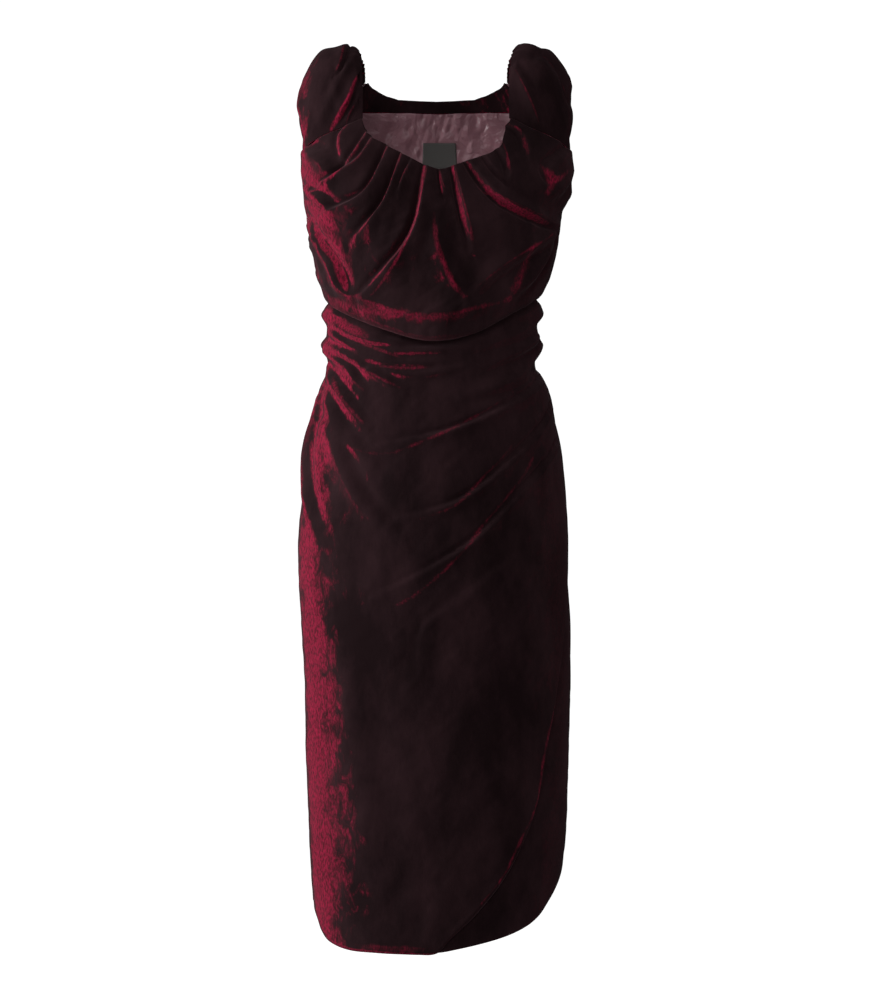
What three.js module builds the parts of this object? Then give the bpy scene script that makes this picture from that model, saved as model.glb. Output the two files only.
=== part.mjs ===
// Midi dress in draped cloth, filled out as on a general figure, hollow and open at neck, armholes and hem.
// Sizes in mm, +Z up, the front faces -Y, z = 0 lies just under the tops of the shoulders.
// Angles in degrees run round the body: 0 at the front, 90 at +X, 180 at the back.
import * as THREE from "three";

const WALL = 2.0;
const LAYER_WALL = 1.2;
const SEAM_GAP = 0.3;
const MM_PER_DEGREE = 2.44;
const SIDE = 90;
const CLEAR_LAP = 7.2;
const BARE_FROM = 30;
const BARE_FULL = 150;

// Deepest trough of the drape's folds, alone and where it laps over the layer below between two angles
const DEEPEST = { alone: -3, lapped: -0.8, from: 46, to: 58 };

// Heights over which the folds fade: above and below an upper edge, over the blousing edge and under it
const FOLD_FADE = { above: 8, below: 6, seam: 26, tuckFrom: 7, tuckTo: 22 };

// Shape of every fold: its strength at both ends, and the place and breadth of the trough in half-widths
const FOLD_SHAPE = { start: 0.6, startTo: 0.3, endFrom: 0.6, end: 0.2, troughAt: 1.5, troughWide: 0.8 };

// Share by which a panel's rows crowd towards its upper edge
const CROWDING = { skirtFront: 0.45, skirtBack: 0.65, shoulder: 0.45 };

// Loop of the blousing edge: its drop below the seam, its fullness at the sides and at the front
const BLOUSE_DROP = 14;
const BLOUSE_SIDE = 6.5;
const BLOUSE_FRONT = 21;
const BLOUSE_POWER = 1.3;
const BLOUSE_RISE = 95;
const WAIST_STEP = 7.8;
const WAIST_FADE = 20;

const CELLS = {
  bodiceFront: [44, 20, 6],
  bodiceBack: [30, 10, 3],
  skirtFront: [34, 36],
  skirtUnder: [20, 16],
  skirtBack: [18, 16],
  shoulder: [12, 24],
  band: [20, 2],
  lining: [20, 5],
  label: [4, 3],
};

// Body sections: half-widths, depths and squareness of each level
const SECTIONS = [
  { z: 20, left: 172, right: 172, front: 50, back: 54, square: 2.8 },
  { z: -20, left: 174, right: 174, front: 58, back: 64, square: 2.9 },
  { z: -60, left: 177, right: 177, front: 70, back: 78, square: 3.0 },
  { z: -100, left: 176, right: 177, front: 84, back: 88, square: 3.0 },
  { z: -145, left: 176.5, right: 178.5, front: 104, back: 96, square: 3.0 },
  { z: -180, left: 172, right: 176, front: 117, back: 99, square: 2.8 },
  { z: -198, left: 170, right: 166, front: 122, back: 98, square: 2.6 },
  { z: -215, left: 166, right: 161.5, front: 126, back: 97, square: 2.5 },
  { z: -245, left: 162, right: 158.5, front: 129, back: 94, square: 2.3 },
  { z: -280, left: 154, right: 150, front: 124, back: 89, square: 2.2 },
  { z: -315, left: 144.5, right: 136, front: 112, back: 85, square: 2.2 },
  { z: -333, left: 146, right: 137, front: 107, back: 84, square: 2.2 },
  { z: -350, left: 141, right: 132, front: 103.5, back: 84, square: 2.2 },
  { z: -373, left: 146, right: 136.5, front: 102, back: 86, square: 2.2 },
  { z: -402, left: 140, right: 129.5, front: 102, back: 90, square: 2.2 },
  { z: -430, left: 151, right: 146, front: 105, back: 97, square: 2.2 },
  { z: -470, left: 160, right: 154.5, front: 110, back: 106, square: 2.2 },
  { z: -510, left: 168, right: 163, front: 114, back: 115, square: 2.2 },
  { z: -560, left: 172, right: 168, front: 117, back: 122, square: 2.2 },
  { z: -610, left: 178.5, right: 171, front: 118, back: 126, square: 2.2 },
  { z: -665, left: 179, right: 173, front: 118, back: 126, square: 2.2 },
  { z: -720, left: 176, right: 175, front: 117, back: 123, square: 2.2 },
  { z: -800, left: 171, right: 175, front: 115, back: 119, square: 2.2 },
  { z: -900, left: 169, right: 173, front: 113, back: 115, square: 2.2 },
  { z: -1000, left: 165, right: 169, front: 111, back: 112, square: 2.2 },
  { z: -1060, left: 162, right: 163, front: 109, back: 110, square: 2.2 },
  { z: -1150, left: 155, right: 158, front: 107, back: 108, square: 2.2 },
];

// Edges of the panels as heights over the angle
const FRONT_TOP = [
  { at: -90, z: -216 }, { at: -85, z: -206 }, { at: -81, z: -184 }, { at: -76, z: -128 },
  { at: -68, z: -114 }, { at: -58, z: -100 }, { at: -51, z: -88 }, { at: -48, z: -103 },
  { at: -44, z: -111 }, { at: -37, z: -120 }, { at: -32, z: -126 }, { at: -22, z: -136.5 },
  { at: -16, z: -142.5 }, { at: -8, z: -150.5 }, { at: 3, z: -156.5 }, { at: 12, z: -151.5 },
  { at: 21, z: -145 }, { at: 31, z: -138 }, { at: 38, z: -131 }, { at: 42, z: -123 },
  { at: 47, z: -104 }, { at: 51, z: -88 }, { at: 58, z: -100 }, { at: 68, z: -114 },
  { at: 76, z: -128 }, { at: 81, z: -184 }, { at: 85, z: -206 }, { at: 90, z: -216 },
];
const BACK_TOP = [
  { at: 90, z: -216 }, { at: 95, z: -206 }, { at: 99, z: -184 }, { at: 104, z: -128 },
  { at: 109.5, z: -97 }, { at: 116, z: -61 }, { at: 123, z: -22 }, { at: 126, z: -29 },
  { at: 136, z: -39 }, { at: 144, z: -43.5 }, { at: 163, z: -45 }, { at: 180, z: -45.7 },
  { at: 197, z: -45 }, { at: 216, z: -43.5 }, { at: 224, z: -39 }, { at: 234, z: -29 },
  { at: 237, z: -22 }, { at: 244, z: -61 }, { at: 250.5, z: -97 }, { at: 256, z: -128 },
  { at: 261, z: -184 }, { at: 265, z: -206 }, { at: 270, z: -216 },
];
const BLOUSE_SEAM = [
  { at: -90, z: -298 }, { at: -70, z: -312 }, { at: -40, z: -340 }, { at: -6, z: -359 },
  { at: 25, z: -350 }, { at: 55, z: -318 }, { at: 78, z: -298 }, { at: 90, z: -296 },
];
const BACK_SEAM = [
  { at: 90, z: -296 }, { at: 120, z: -304 }, { at: 180, z: -312 }, { at: 240, z: -306 },
  { at: 270, z: -298 },
];
const DRAPE_HEM = [
  { at: -90, z: -1094 }, { at: -80, z: -1110 }, { at: -73, z: -1129 }, { at: -67, z: -1139 },
  { at: -54, z: -1146 }, { at: -39, z: -1147 }, { at: -12, z: -1148 }, { at: 1, z: -1146 },
  { at: 9, z: -1130 }, { at: 26, z: -1098 }, { at: 42, z: -1054 }, { at: 52, z: -1007 },
  { at: 59, z: -954 }, { at: 63, z: -889 }, { at: 67, z: -848 }, { at: 73, z: -766 },
  { at: 78, z: -700 }, { at: 85, z: -640 }, { at: 90, z: -596 },
];
const UNDER_START = -15;
const UNDER_END = 85;
const UNDER_TOP = [
  { at: -15, z: -1106 }, { at: 4, z: -1075 }, { at: 25, z: -990 }, { at: 40, z: -840 },
  { at: 50, z: -650 }, { at: 55, z: -530 }, { at: 60, z: -455 }, { at: 65, z: -412 },
  { at: 70, z: -380 }, { at: 75, z: -352 }, { at: 80, z: -330 }, { at: 85, z: -312 },
  { at: 90, z: -296.6 },
];
const UNDER_HEM = [
  { at: -15, z: -1142 }, { at: 0, z: -1146 }, { at: 13, z: -1142.5 }, { at: 36, z: -1132.5 },
  { at: 51, z: -1121.5 }, { at: 63, z: -1104 }, { at: 70, z: -1086 }, { at: 77, z: -1069 },
  { at: 83, z: -1056 }, { at: 90, z: -1045 }, { at: 120, z: -1062 }, { at: 180, z: -1108 },
  { at: 235, z: -1108 }, { at: 270, z: -1094 },
];

// Folds: points of the crest (angle, height), its height, half-width and the share of the trough beside it
const BODICE_FOLDS = [
  { path: [[-55, -92], [-57, -112], [-53, -140]], rise: 4, wide: 10, trough: 0.5 },
  { path: [[-46, -113], [-49, -144], [-56, -172]], rise: 5, wide: 10, trough: 0.6 },
  { path: [[-41, -114], [-46, -149], [-66, -181]], rise: 6, wide: 11, trough: 0.6 },
  { path: [[-31, -126], [-38, -187], [-64, -216]], rise: 7, wide: 12, trough: 0.6 },
  { path: [[-22, -134], [-28, -199], [-45, -252]], rise: 7, wide: 12, trough: 0.6 },
  { path: [[-16, -147], [-19, -166], [-21, -190]], rise: 3, wide: 7, trough: 0.5 },
  { path: [[-6, -156], [-13, -242], [-43, -321]], rise: 8, wide: 13, trough: 0.6 },
  { path: [[3, -158], [4, -174], [6, -200]], rise: 3.5, wide: 7, trough: 0.5 },
  { path: [[12, -152], [16, -210], [21, -262]], rise: 6, wide: 11, trough: 0.6 },
  { path: [[20, -142], [34, -190], [54, -214], [75, -225]], rise: 7, wide: 12, trough: 0.6 },
  { path: [[41, -124], [42, -151], [40, -176]], rise: 4, wide: 10, trough: 0.5 },
  { path: [[50, -96], [54, -114], [52, -146]], rise: 4, wide: 10, trough: 0.5 },
  { path: [[1, -212], [3, -275], [20, -327]], rise: 5, wide: 14, trough: 0.5 },
  { path: [[74, -126], [60, -153], [63, -176]], rise: 5, wide: 12, trough: 0.6 },
  { path: [[71, -226], [39, -274], [18, -320]], rise: 7, wide: 13, trough: 0.5 },
  { path: [[70, -240], [57, -288], [40, -331]], rise: 6, wide: 12, trough: 0.5 },
  { path: [[-78, -222], [-60, -279], [-53, -324]], rise: 7, wide: 13, trough: 0.6 },
  { path: [[-74, -128], [-62, -142], [-56, -168]], rise: 6, wide: 12, trough: 0.5 },
  { path: [[-74, -178], [-62, -193], [-55, -212]], rise: 5, wide: 11, trough: 0.5 },
  { path: [[-84, -238], [-72, -262], [-66, -292]], rise: 4, wide: 11, trough: 0.5 },
  { path: [[-80, -288], [-40, -316], [-6, -332], [26, -324], [60, -296]], rise: 7, wide: 19, trough: 0 },
];
const BODICE_BACK_FOLDS = [
  { path: [[131, -42], [122, -110], [108, -168]], rise: 4, wide: 12, trough: 0.5 },
  { path: [[146, -60], [138, -130], [120, -205]], rise: 3.5, wide: 13, trough: 0.4 },
  { path: [[214, -60], [223, -128], [241, -200]], rise: 3.5, wide: 13, trough: 0.4 },
  { path: [[229, -42], [238, -108], [252, -170]], rise: 4, wide: 12, trough: 0.5 },
];
const SKIRT_FOLDS = [
  { path: [[-90, -334], [-43, -371], [3, -388]], rise: 5, wide: 9, trough: 0.5 },
  { path: [[-76, -356], [-41, -387], [30, -381]], rise: 5, wide: 7, trough: 0.5 },
  { path: [[-90, -372], [-38, -399], [24, -401]], rise: 5.5, wide: 9, trough: 0.5 },
  { path: [[-82, -384], [-59, -406], [-46, -437]], rise: 5, wide: 7, trough: 0.5 },
  { path: [[-57, -396], [-38, -418], [-21, -438]], rise: 4, wide: 8, trough: 0.4 },
  { path: [[-84, -402], [-62, -436], [-42, -482]], rise: 5, wide: 8, trough: 0.5 },
  { path: [[-43, -409], [-11, -415], [28, -404]], rise: 4, wide: 7, trough: 0.4 },
  { path: [[90, -328], [58, -360], [30, -378]], rise: 4, wide: 9, trough: 0.5 },
  { path: [[78, -362], [58, -383], [23, -414]], rise: 5, wide: 8, trough: 0.5 },
  { path: [[90, -372], [49, -422], [16, -441]], rise: 5, wide: 10, trough: 0.5 },
  { path: [[86, -410], [56, -443], [15, -483], [-35, -506]], rise: 7, wide: 11, trough: 0.5 },
  { path: [[80, -454], [57, -498], [18, -571], [-24, -599]], rise: 7, wide: 12, trough: 0.5 },
  { path: [[76, -504], [52, -556], [19, -631], [-37, -698]], rise: 7, wide: 13, trough: 0.5 },
  { path: [[60, -628], [7, -712], [-7, -738], [-10, -778]], rise: 4, wide: 13, trough: 0.4 },
  { path: [[-80, -445], [-82, -535], [-64, -631]], rise: 7, wide: 12, trough: 0.5 },
  { path: [[-72, -440], [-56, -491], [-38, -526]], rise: 5, wide: 11, trough: 0.4 },
  { path: [[-70, -480], [-61, -498], [-44, -574], [-20, -627]], rise: 5, wide: 12, trough: 0.4 },
  { path: [[-54, -740], [-46, -900], [-36, -1130]], rise: 6, wide: 26, trough: 0.2 },
];
const SKIRT_BACK_FOLDS = [
  { path: [[98, -334], [140, -352], [172, -358]], rise: 4, wide: 11, trough: 0.4 },
  { path: [[96, -374], [132, -398], [160, -406]], rise: 4, wide: 12, trough: 0.4 },
  { path: [[264, -338], [226, -356], [192, -366]], rise: 4, wide: 11, trough: 0.4 },
  { path: [[264, -376], [232, -404], [206, -424]], rise: 4, wide: 12, trough: 0.4 },
  { path: [[104, -452], [122, -520], [136, -600]], rise: 4, wide: 17, trough: 0.3 },
  { path: [[258, -470], [240, -540], [226, -640]], rise: 4, wide: 17, trough: 0.3 },
];

// Shoulder piece: its ridge from the neck edge to the sleeve edge, and its joins with front and back
const RIDGE = [
  { at: 0, x: 100.5, z: 9 }, { at: 0.06, x: 105, z: 14 }, { at: 0.16, x: 114, z: 15.5 },
  { at: 0.28, x: 131, z: 14 }, { at: 0.4, x: 149, z: 10 }, { at: 0.5, x: 160, z: -4 },
  { at: 0.6, x: 168, z: -20 }, { at: 0.71, x: 174.5, z: -42 }, { at: 0.8, x: 178, z: -62 },
  { at: 0.91, x: 177, z: -86 }, { at: 1, x: 171.5, z: -106 },
];
const FRONT_JOIN = [
  { at: 0, angle: 51, z: -88 }, { at: 0.3, angle: 58, z: -100 }, { at: 0.7, angle: 68, z: -114 },
  { at: 1, angle: 76, z: -128 },
];
const BACK_JOIN = [
  { at: 0, angle: 123, z: -22 }, { at: 0.35, angle: 116, z: -61 }, { at: 0.7, angle: 109.5, z: -97 },
  { at: 1, angle: 104, z: -128 },
];
const SHOULDER = {
  puff: 11, edgePower: 5, edgeSoftening: 3.6, gathers: 7, gatherHigh: 2.2, gatherReach: 0.1,
  mmAcross: 178, mmPerDegree: 1.2, foldFrom: -0.02, foldFull: 0.06, join: 0.35, joinFade: 20,
};
const SHOULDER_FOLDS = {
  left: [
    { path: [[0.16, 88], [0.27, 52], [0.37, 41]], rise: 4, wide: 9, trough: 0.6 },
    { path: [[0.1, 31], [0.2, 19], [0.3, 11], [0.46, 2]], rise: 5.5, wide: 9, trough: 0.6 },
    { path: [[0.04, 60], [0.42, 24], [0.7, 14]], rise: 4, wide: 10, trough: 0.5 },
    { path: [[0.05, 120], [0.3, 140], [0.6, 150]], rise: 4, wide: 10, trough: 0.5 },
  ],
  right: [
    { path: [[0.3, 60], [0.56, 64], [0.76, 62], [0.8, 110]], rise: -5, wide: 8, trough: 0 },
    { path: [[0.1, 84], [0.36, 66]], rise: 4, wide: 9, trough: 0.5 },
    { path: [[0.1, 38], [0.36, 13], [0.46, 2]], rise: 4, wide: 9, trough: 0.5 },
    { path: [[0.05, 126], [0.3, 142], [0.6, 148]], rise: 4, wide: 10, trough: 0.5 },
  ],
};

// Inside of the back of the neck
const LAYER_CLEARANCE = 2.3;
const BAND = { from: 120, to: 240, high: 16.5, below: 0.4 };
const LINING = { from: 120, to: 240, bottom: -205 };
const LABEL = { centre: 5, top: -99, wide: 44, high: 36, wall: 1.0, clearance: 0.9 };

/** Value of a table's column at a place, by smooth steps between its rows. */
function read(table, key, column, place) {
  const rising = table[1][key] > table[0][key];
  const row = (i) => table[Math.min(table.length - 1, Math.max(0, i))];
  let i = 0;
  while (i < table.length - 2 && (rising ? place > row(i + 1)[key] : place < row(i + 1)[key])) {
    i += 1;
  }
  const span = row(i + 1)[key] - row(i)[key];
  const t = Math.min(1, Math.max(0, (place - row(i)[key]) / span));
  const slope = (j) => {
    const before = row(j - 1);
    const after = row(j + 1);
    return after[key] === before[key] ? 0 : (after[column] - before[column]) / (after[key] - before[key]);
  };
  const t2 = t * t;
  const t3 = t2 * t;
  return (2 * t3 - 3 * t2 + 1) * row(i)[column] + (t3 - 2 * t2 + t) * span * slope(i)
    + (3 * t2 - 2 * t3) * row(i + 1)[column] + (t3 - t2) * span * slope(i + 1);
}

/** Value of an edge table at an angle, by straight steps, so that corners stay where the table has them. */
function edge(table, angle) {
  let i = 0;
  while (i < table.length - 2 && angle > table[i + 1].at) {
    i += 1;
  }
  const t = Math.min(1, Math.max(0, (angle - table[i].at) / (table[i + 1].at - table[i].at)));
  return table[i].z + (table[i + 1].z - table[i].z) * t;
}

/** Rise from 0 to 1 between two places. */
function smooth(low, high, place) {
  const t = Math.min(1, Math.max(0, (place - low) / (high - low)));
  return t * t * (3 - 2 * t);
}

/** Distance of the body's surface from its upright axis. */
function radius(angle, z) {
  const turn = THREE.MathUtils.degToRad(angle);
  const wide = read(SECTIONS, "z", Math.sin(turn) >= 0 ? "right" : "left", z);
  const deep = read(SECTIONS, "z", Math.cos(turn) >= 0 ? "front" : "back", z);
  const square = read(SECTIONS, "z", "square", z);
  const sum = (Math.abs(Math.sin(turn)) / wide) ** square + (Math.abs(Math.cos(turn)) / deep) ** square;
  return sum ** (-1 / square);
}

/** Point at an angle, a distance from the upright axis and a height. */
function around(angle, reach, z) {
  const turn = THREE.MathUtils.degToRad(angle);
  return new THREE.Vector3(reach * Math.sin(turn), -reach * Math.cos(turn), z);
}

/** Height of the folds at a place: a crest along each path with a trough beside it, thin at both ends. */
function foldHeight(folds, across, up, mmAcross, mmUp) {
  let sum = 0;
  for (const fold of folds) {
    let best = Infinity;
    let side = 0;
    let along = 0;
    const last = fold.path.length - 1;
    for (let i = 0; i < last; i += 1) {
      const ax = fold.path[i][0] * mmAcross;
      const ay = fold.path[i][1] * mmUp;
      const dx = fold.path[i + 1][0] * mmAcross - ax;
      const dy = fold.path[i + 1][1] * mmUp - ay;
      const px = across * mmAcross - ax;
      const py = up * mmUp - ay;
      const t = Math.min(1, Math.max(0, (px * dx + py * dy) / (dx * dx + dy * dy)));
      const far = Math.hypot(px - dx * t, py - dy * t);
      if (far < best) {
        best = far;
        side = Math.sign(dx * py - dy * px) || 1;
        along = (i + t) / last;
      }
    }
    const place = (side * best) / fold.wide;
    const { start, startTo, endFrom, end, troughAt, troughWide } = FOLD_SHAPE;
    const first = start + (1 - start) * smooth(0, startTo, along);
    const taper = first * (1 - (1 - end) * smooth(endFrom, 1, along));
    const crest = Math.exp(-(place * place));
    const trough = fold.trough * Math.exp(-((place - troughAt) ** 2) / troughWide);
    sum += fold.rise * taper * (crest - trough);
  }
  return sum;
}

/** Folds of the front and the back panel together, so that both carry on across the side seams. */
function allFolds(front, back, angle, z) {
  const near = angle > 2 * SIDE ? angle - 4 * SIDE : angle;
  return foldHeight(front, near, z, MM_PER_DEGREE, 1) + foldHeight(back, angle, z, MM_PER_DEGREE, 1);
}

/** Closed wall between an outer and an inner grid of points. */
function wall(outer, inner) {
  const rows = outer.length;
  const columns = outer[0].length;
  const positions = [];
  outer.flat().concat(inner.flat()).forEach((p) => positions.push(p.x, p.y, p.z));
  const near = (i, j) => i * columns + j;
  const far = (i, j) => rows * columns + i * columns + j;
  const faces = [];
  const quad = (a, b, c, d) => faces.push(a, b, c, a, c, d);
  for (let i = 0; i < rows - 1; i += 1) {
    for (let j = 0; j < columns - 1; j += 1) {
      quad(near(i, j), near(i, j + 1), near(i + 1, j + 1), near(i + 1, j));
      quad(far(i, j), far(i + 1, j), far(i + 1, j + 1), far(i, j + 1));
    }
  }
  for (let j = 0; j < columns - 1; j += 1) {
    quad(near(0, j), far(0, j), far(0, j + 1), near(0, j + 1));
    quad(near(rows - 1, j), near(rows - 1, j + 1), far(rows - 1, j + 1), far(rows - 1, j));
  }
  for (let i = 0; i < rows - 1; i += 1) {
    quad(near(i, 0), near(i + 1, 0), far(i + 1, 0), far(i, 0));
    quad(near(i, columns - 1), far(i, columns - 1), far(i + 1, columns - 1), near(i + 1, columns - 1));
  }
  const geometry = new THREE.BufferGeometry();
  geometry.setAttribute("position", new THREE.Float32BufferAttribute(positions, 3));
  geometry.setIndex(volume(positions, faces) > 0 ? faces : faces.reverse());
  geometry.computeVertexNormals();
  return geometry;
}

/** Signed volume of a closed mesh. */
function volume(positions, faces) {
  const at = (i) => new THREE.Vector3(positions[3 * i], positions[3 * i + 1], positions[3 * i + 2]);
  let sum = 0;
  for (let i = 0; i < faces.length; i += 3) {
    sum += at(faces[i]).dot(at(faces[i + 1]).cross(at(faces[i + 2])));
  }
  return sum / 6;
}

/**
 * Wall whose outer grid comes from upright profiles, one at each angle; the inner grid lies at the same
 * angles, square to the profile, so that side edges stay in upright planes.
 */
function profileWall(angles, profile, thick, shiftY) {
  const outer = [];
  const inner = [];
  for (const angle of angles) {
    const line = profile(angle);
    const last = line.length - 1;
    outer.push(line.map(([reach, z]) => around(angle, reach, z)));
    inner.push(line.map(([reach, z], j) => {
      const [r0, z0] = line[Math.max(0, j - 1)];
      const [r1, z1] = line[Math.min(last, j + 1)];
      const length = Math.hypot(r1 - r0, z1 - z0);
      return around(angle, reach + (thick * (z1 - z0)) / length, z - (thick * (r1 - r0)) / length);
    }));
  }
  outer.concat(inner).flat().forEach((p) => { p.y += shiftY; });
  return wall(outer, inner);
}

/** Even steps between two values, both ends included. */
function steps(from, to, count) {
  return Array.from({ length: count + 1 }, (_, i) => from + ((to - from) * i) / count);
}

/** Place from 0 to 1, crowded towards 0 by a share. */
function crowded(place, share) {
  return place * (1 - share + share * place);
}

/** Fullness of the blousing loop at an angle: most at the front, least at the sides. */
function loopWidth(angle, full) {
  const ahead = Math.max(0, Math.cos(THREE.MathUtils.degToRad(angle)));
  return BLOUSE_SIDE + (full - BLOUSE_SIDE) * ahead ** BLOUSE_POWER;
}

/** Strength of the folds at a distance below an upper edge. */
function belowEdge(distance) {
  return smooth(-FOLD_FADE.above, FOLD_FADE.below, distance);
}

/** Strength of the skirt's folds at a distance below the blousing seam. */
function belowTuck(distance) {
  return smooth(FOLD_FADE.tuckFrom, FOLD_FADE.tuckTo, distance);
}

/** Bodice panel: down from its upper edge, full over the seam, then round a loop and up to the seam. */
function bodice(angles, top, seam, cells, full, shiftY) {
  return profileWall(angles, (angle) => {
    const start = edge(top, angle);
    const end = read(seam, "at", "z", angle);
    const width = loopWidth(angle, full);
    const line = steps(0, 1, cells[1]).map((t) => {
      const z = start + (end - start) * t;
      const swell = (width - BLOUSE_SIDE) * smooth(BLOUSE_RISE, 0, z - end);
      const soft = smooth(0, FOLD_FADE.seam, z - end) * belowEdge(start - z);
      return [radius(angle, z) + swell + soft * allFolds(BODICE_FOLDS, BODICE_BACK_FOLDS, angle, z), z];
    });
    for (let i = 1; i <= cells[2]; i += 1) {
      const turn = (Math.PI * i) / cells[2];
      const z = end - BLOUSE_DROP * Math.sin(turn);
      const out = width - BLOUSE_SIDE - (width * (1 - Math.cos(turn))) / 2;
      line.push([radius(angle, z) + out, z]);
    }
    return line;
  }, WALL, shiftY);
}

/** Step by which the skirt lies behind the blousing loop, gone a little below it. */
function tucked(z, seam) {
  return WAIST_STEP * (1 - smooth(BLOUSE_DROP, BLOUSE_DROP + WAIST_FADE, seam - z));
}

/** Front drape of the skirt with the ruched waist above it; its lower right edge is free. */
function skirtFront() {
  return profileWall(steps(-SIDE, SIDE, CELLS.skirtFront[0]), (angle) => {
    const start = read(BLOUSE_SEAM, "at", "z", angle) - SEAM_GAP;
    const end = read(DRAPE_HEM, "at", "z", angle);
    return steps(0, 1, CELLS.skirtFront[1]).map((t) => {
      const z = start + (end - start) * crowded(t, CROWDING.skirtFront);
      const folds = allFolds(SKIRT_FOLDS, SKIRT_BACK_FOLDS, angle, z);
      const lapped = smooth(DEEPEST.from, DEEPEST.to, angle);
      const deepest = DEEPEST.alone + (DEEPEST.lapped - DEEPEST.alone) * lapped;
      return [radius(angle, z) - tucked(z, start) + belowTuck(start - z) * Math.max(folds, deepest), z];
    });
  }, WALL, -SEAM_GAP / 2);
}

/** Back of the skirt, run on below the front drape at the wearer's left side. */
function skirtBack() {
  const angles = [...steps(UNDER_START, UNDER_END, CELLS.skirtUnder[0]),
    ...steps(SIDE, 3 * SIDE, CELLS.skirtBack[0])];
  return profileWall(angles, (angle) => {
    const seam = angle < SIDE ? read(BLOUSE_SEAM, "at", "z", angle) : read(BACK_SEAM, "at", "z", angle);
    const top = angle < SIDE ? edge(UNDER_TOP, angle) : seam - SEAM_GAP;
    const end = read(UNDER_HEM, "at", "z", angle);
    return steps(0, 1, CELLS.skirtBack[1]).map((t) => {
      const z = top + (end - top) * crowded(t, CROWDING.skirtBack);
      const bare = angle > SIDE ? 1 : smooth(BARE_FROM, BARE_FULL, read(DRAPE_HEM, "at", "z", angle) - z);
      const lap = CLEAR_LAP * (1 - bare);
      const shown = angle < SIDE ? [] : SKIRT_FOLDS;
      const folds = belowTuck(seam - z) * allFolds(shown, SKIRT_BACK_FOLDS, angle, z);
      return [radius(angle, z) - lap - tucked(z, seam) + folds, z];
    });
  }, WALL, SEAM_GAP / 2);
}

/** Shoulder piece: over the shoulder from its front join to its back join, gathered at the neck edge. */
function shoulder(side, folds) {
  const at = (s, turn) => {
    const table = turn <= SIDE ? FRONT_JOIN : BACK_JOIN;
    const z = read(table, "at", "z", s) + SHOULDER.join;
    const angle = read(table, "at", "angle", s);
    const foot = around(angle, radius(angle * side, z - SHOULDER.join), z);
    const up = Math.sin(THREE.MathUtils.degToRad(turn));
    const ridgeX = read(RIDGE, "at", "x", s);
    const ridgeZ = read(RIDGE, "at", "z", s);
    const puff = SHOULDER.puff * Math.sin(THREE.MathUtils.degToRad(2 * turn)) * Math.sin(Math.PI * s);
    return new THREE.Vector3(
      side * (foot.x + (ridgeX - foot.x) * up ** (SHOULDER.edgePower - SHOULDER.edgeSoftening * s)),
      foot.y * Math.cos(THREE.MathUtils.degToRad(turn)) * (turn <= SIDE ? 1 : -1) - puff,
      foot.z + (ridgeZ - foot.z) * up,
    );
  };
  const rows = steps(0, 1, CELLS.shoulder[0]).map((s) => crowded(s, CROWDING.shoulder));
  const turns = steps(0, 2 * SIDE, CELLS.shoulder[1]);
  const tiny = 0.002;
  const tinyTurn = 0.2;
  const outer = [];
  const inner = [];
  for (const s of rows) {
    const outerLine = [];
    const innerLine = [];
    for (const turn of turns) {
      const base = at(s, turn);
      const alongS = at(Math.min(1, s + tiny), turn).sub(at(Math.max(0, s - tiny), turn));
      const low = at(s, Math.max(turn <= SIDE ? 0 : SIDE + tiny, turn - tinyTurn));
      const high = at(s, Math.min(turn <= SIDE ? SIDE : 2 * SIDE, turn + tinyTurn));
      const normal = alongS.cross(high.sub(low)).normalize().multiplyScalar(-side);
      const edgeness = smooth(0, SHOULDER.joinFade, turn) * smooth(0, SHOULDER.joinFade, 2 * SIDE - turn);
      const flat = new THREE.Vector3(base.x, base.y, 0).normalize();
      normal.lerp(flat, 1 - edgeness).normalize();
      const gather = SHOULDER.gatherHigh * Math.exp(-s / SHOULDER.gatherReach)
        * Math.cos(THREE.MathUtils.degToRad(2 * SHOULDER.gathers * turn));
      const high2 = foldHeight(folds, s, turn, SHOULDER.mmAcross, SHOULDER.mmPerDegree);
      const lift = edgeness * (gather + high2 * smooth(SHOULDER.foldFrom, SHOULDER.foldFull, s));
      outerLine.push(base.clone().addScaledVector(normal, lift));
      innerLine.push(base.clone().addScaledVector(normal, lift - WALL));
    }
    outer.push(outerLine);
    inner.push(innerLine);
  }
  return wall(outer, inner);
}

/** Layer inside the back panel between two heights, a gap from the wall outside it. */
function insideBack(angles, top, bottom, count, depth, thick) {
  return profileWall(angles, (angle) => {
    const start = top(angle);
    const end = bottom(angle);
    return steps(0, 1, count).map((t) => {
      const z = start + (end - start) * t;
      const soft = belowEdge(edge(BACK_TOP, angle) - z);
      return [radius(angle, z) + soft * foldHeight(BODICE_BACK_FOLDS, angle, z, MM_PER_DEGREE, 1) - depth, z];
    });
  }, thick, SEAM_GAP / 2);
}

const backDepth = WALL + LAYER_CLEARANCE;
const bandTop = (angle) => edge(BACK_TOP, angle) - BAND.below;
const bandBottom = (angle) => bandTop(angle) - BAND.high;
const liningTop = (angle) => bandBottom(angle) - SEAM_GAP;
const labelAngle = (x) => 180 - THREE.MathUtils.radToDeg(Math.atan2(x, radius(180, LABEL.top)));
const labelFrom = labelAngle(LABEL.centre + LABEL.wide / 2);
const labelTo = labelAngle(LABEL.centre - LABEL.wide / 2);

const ALONG = {
  front: steps(-SIDE, SIDE, CELLS.bodiceFront[0]),
  back: steps(SIDE, 3 * SIDE, CELLS.bodiceBack[0]),
};
const velvet = { color: 0x5a1024, roughness: 0.8 };
const satin = { color: 0x624448, roughness: 0.5 };
const woven = { color: 0x2e2a2b, roughness: 0.7 };

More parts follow.
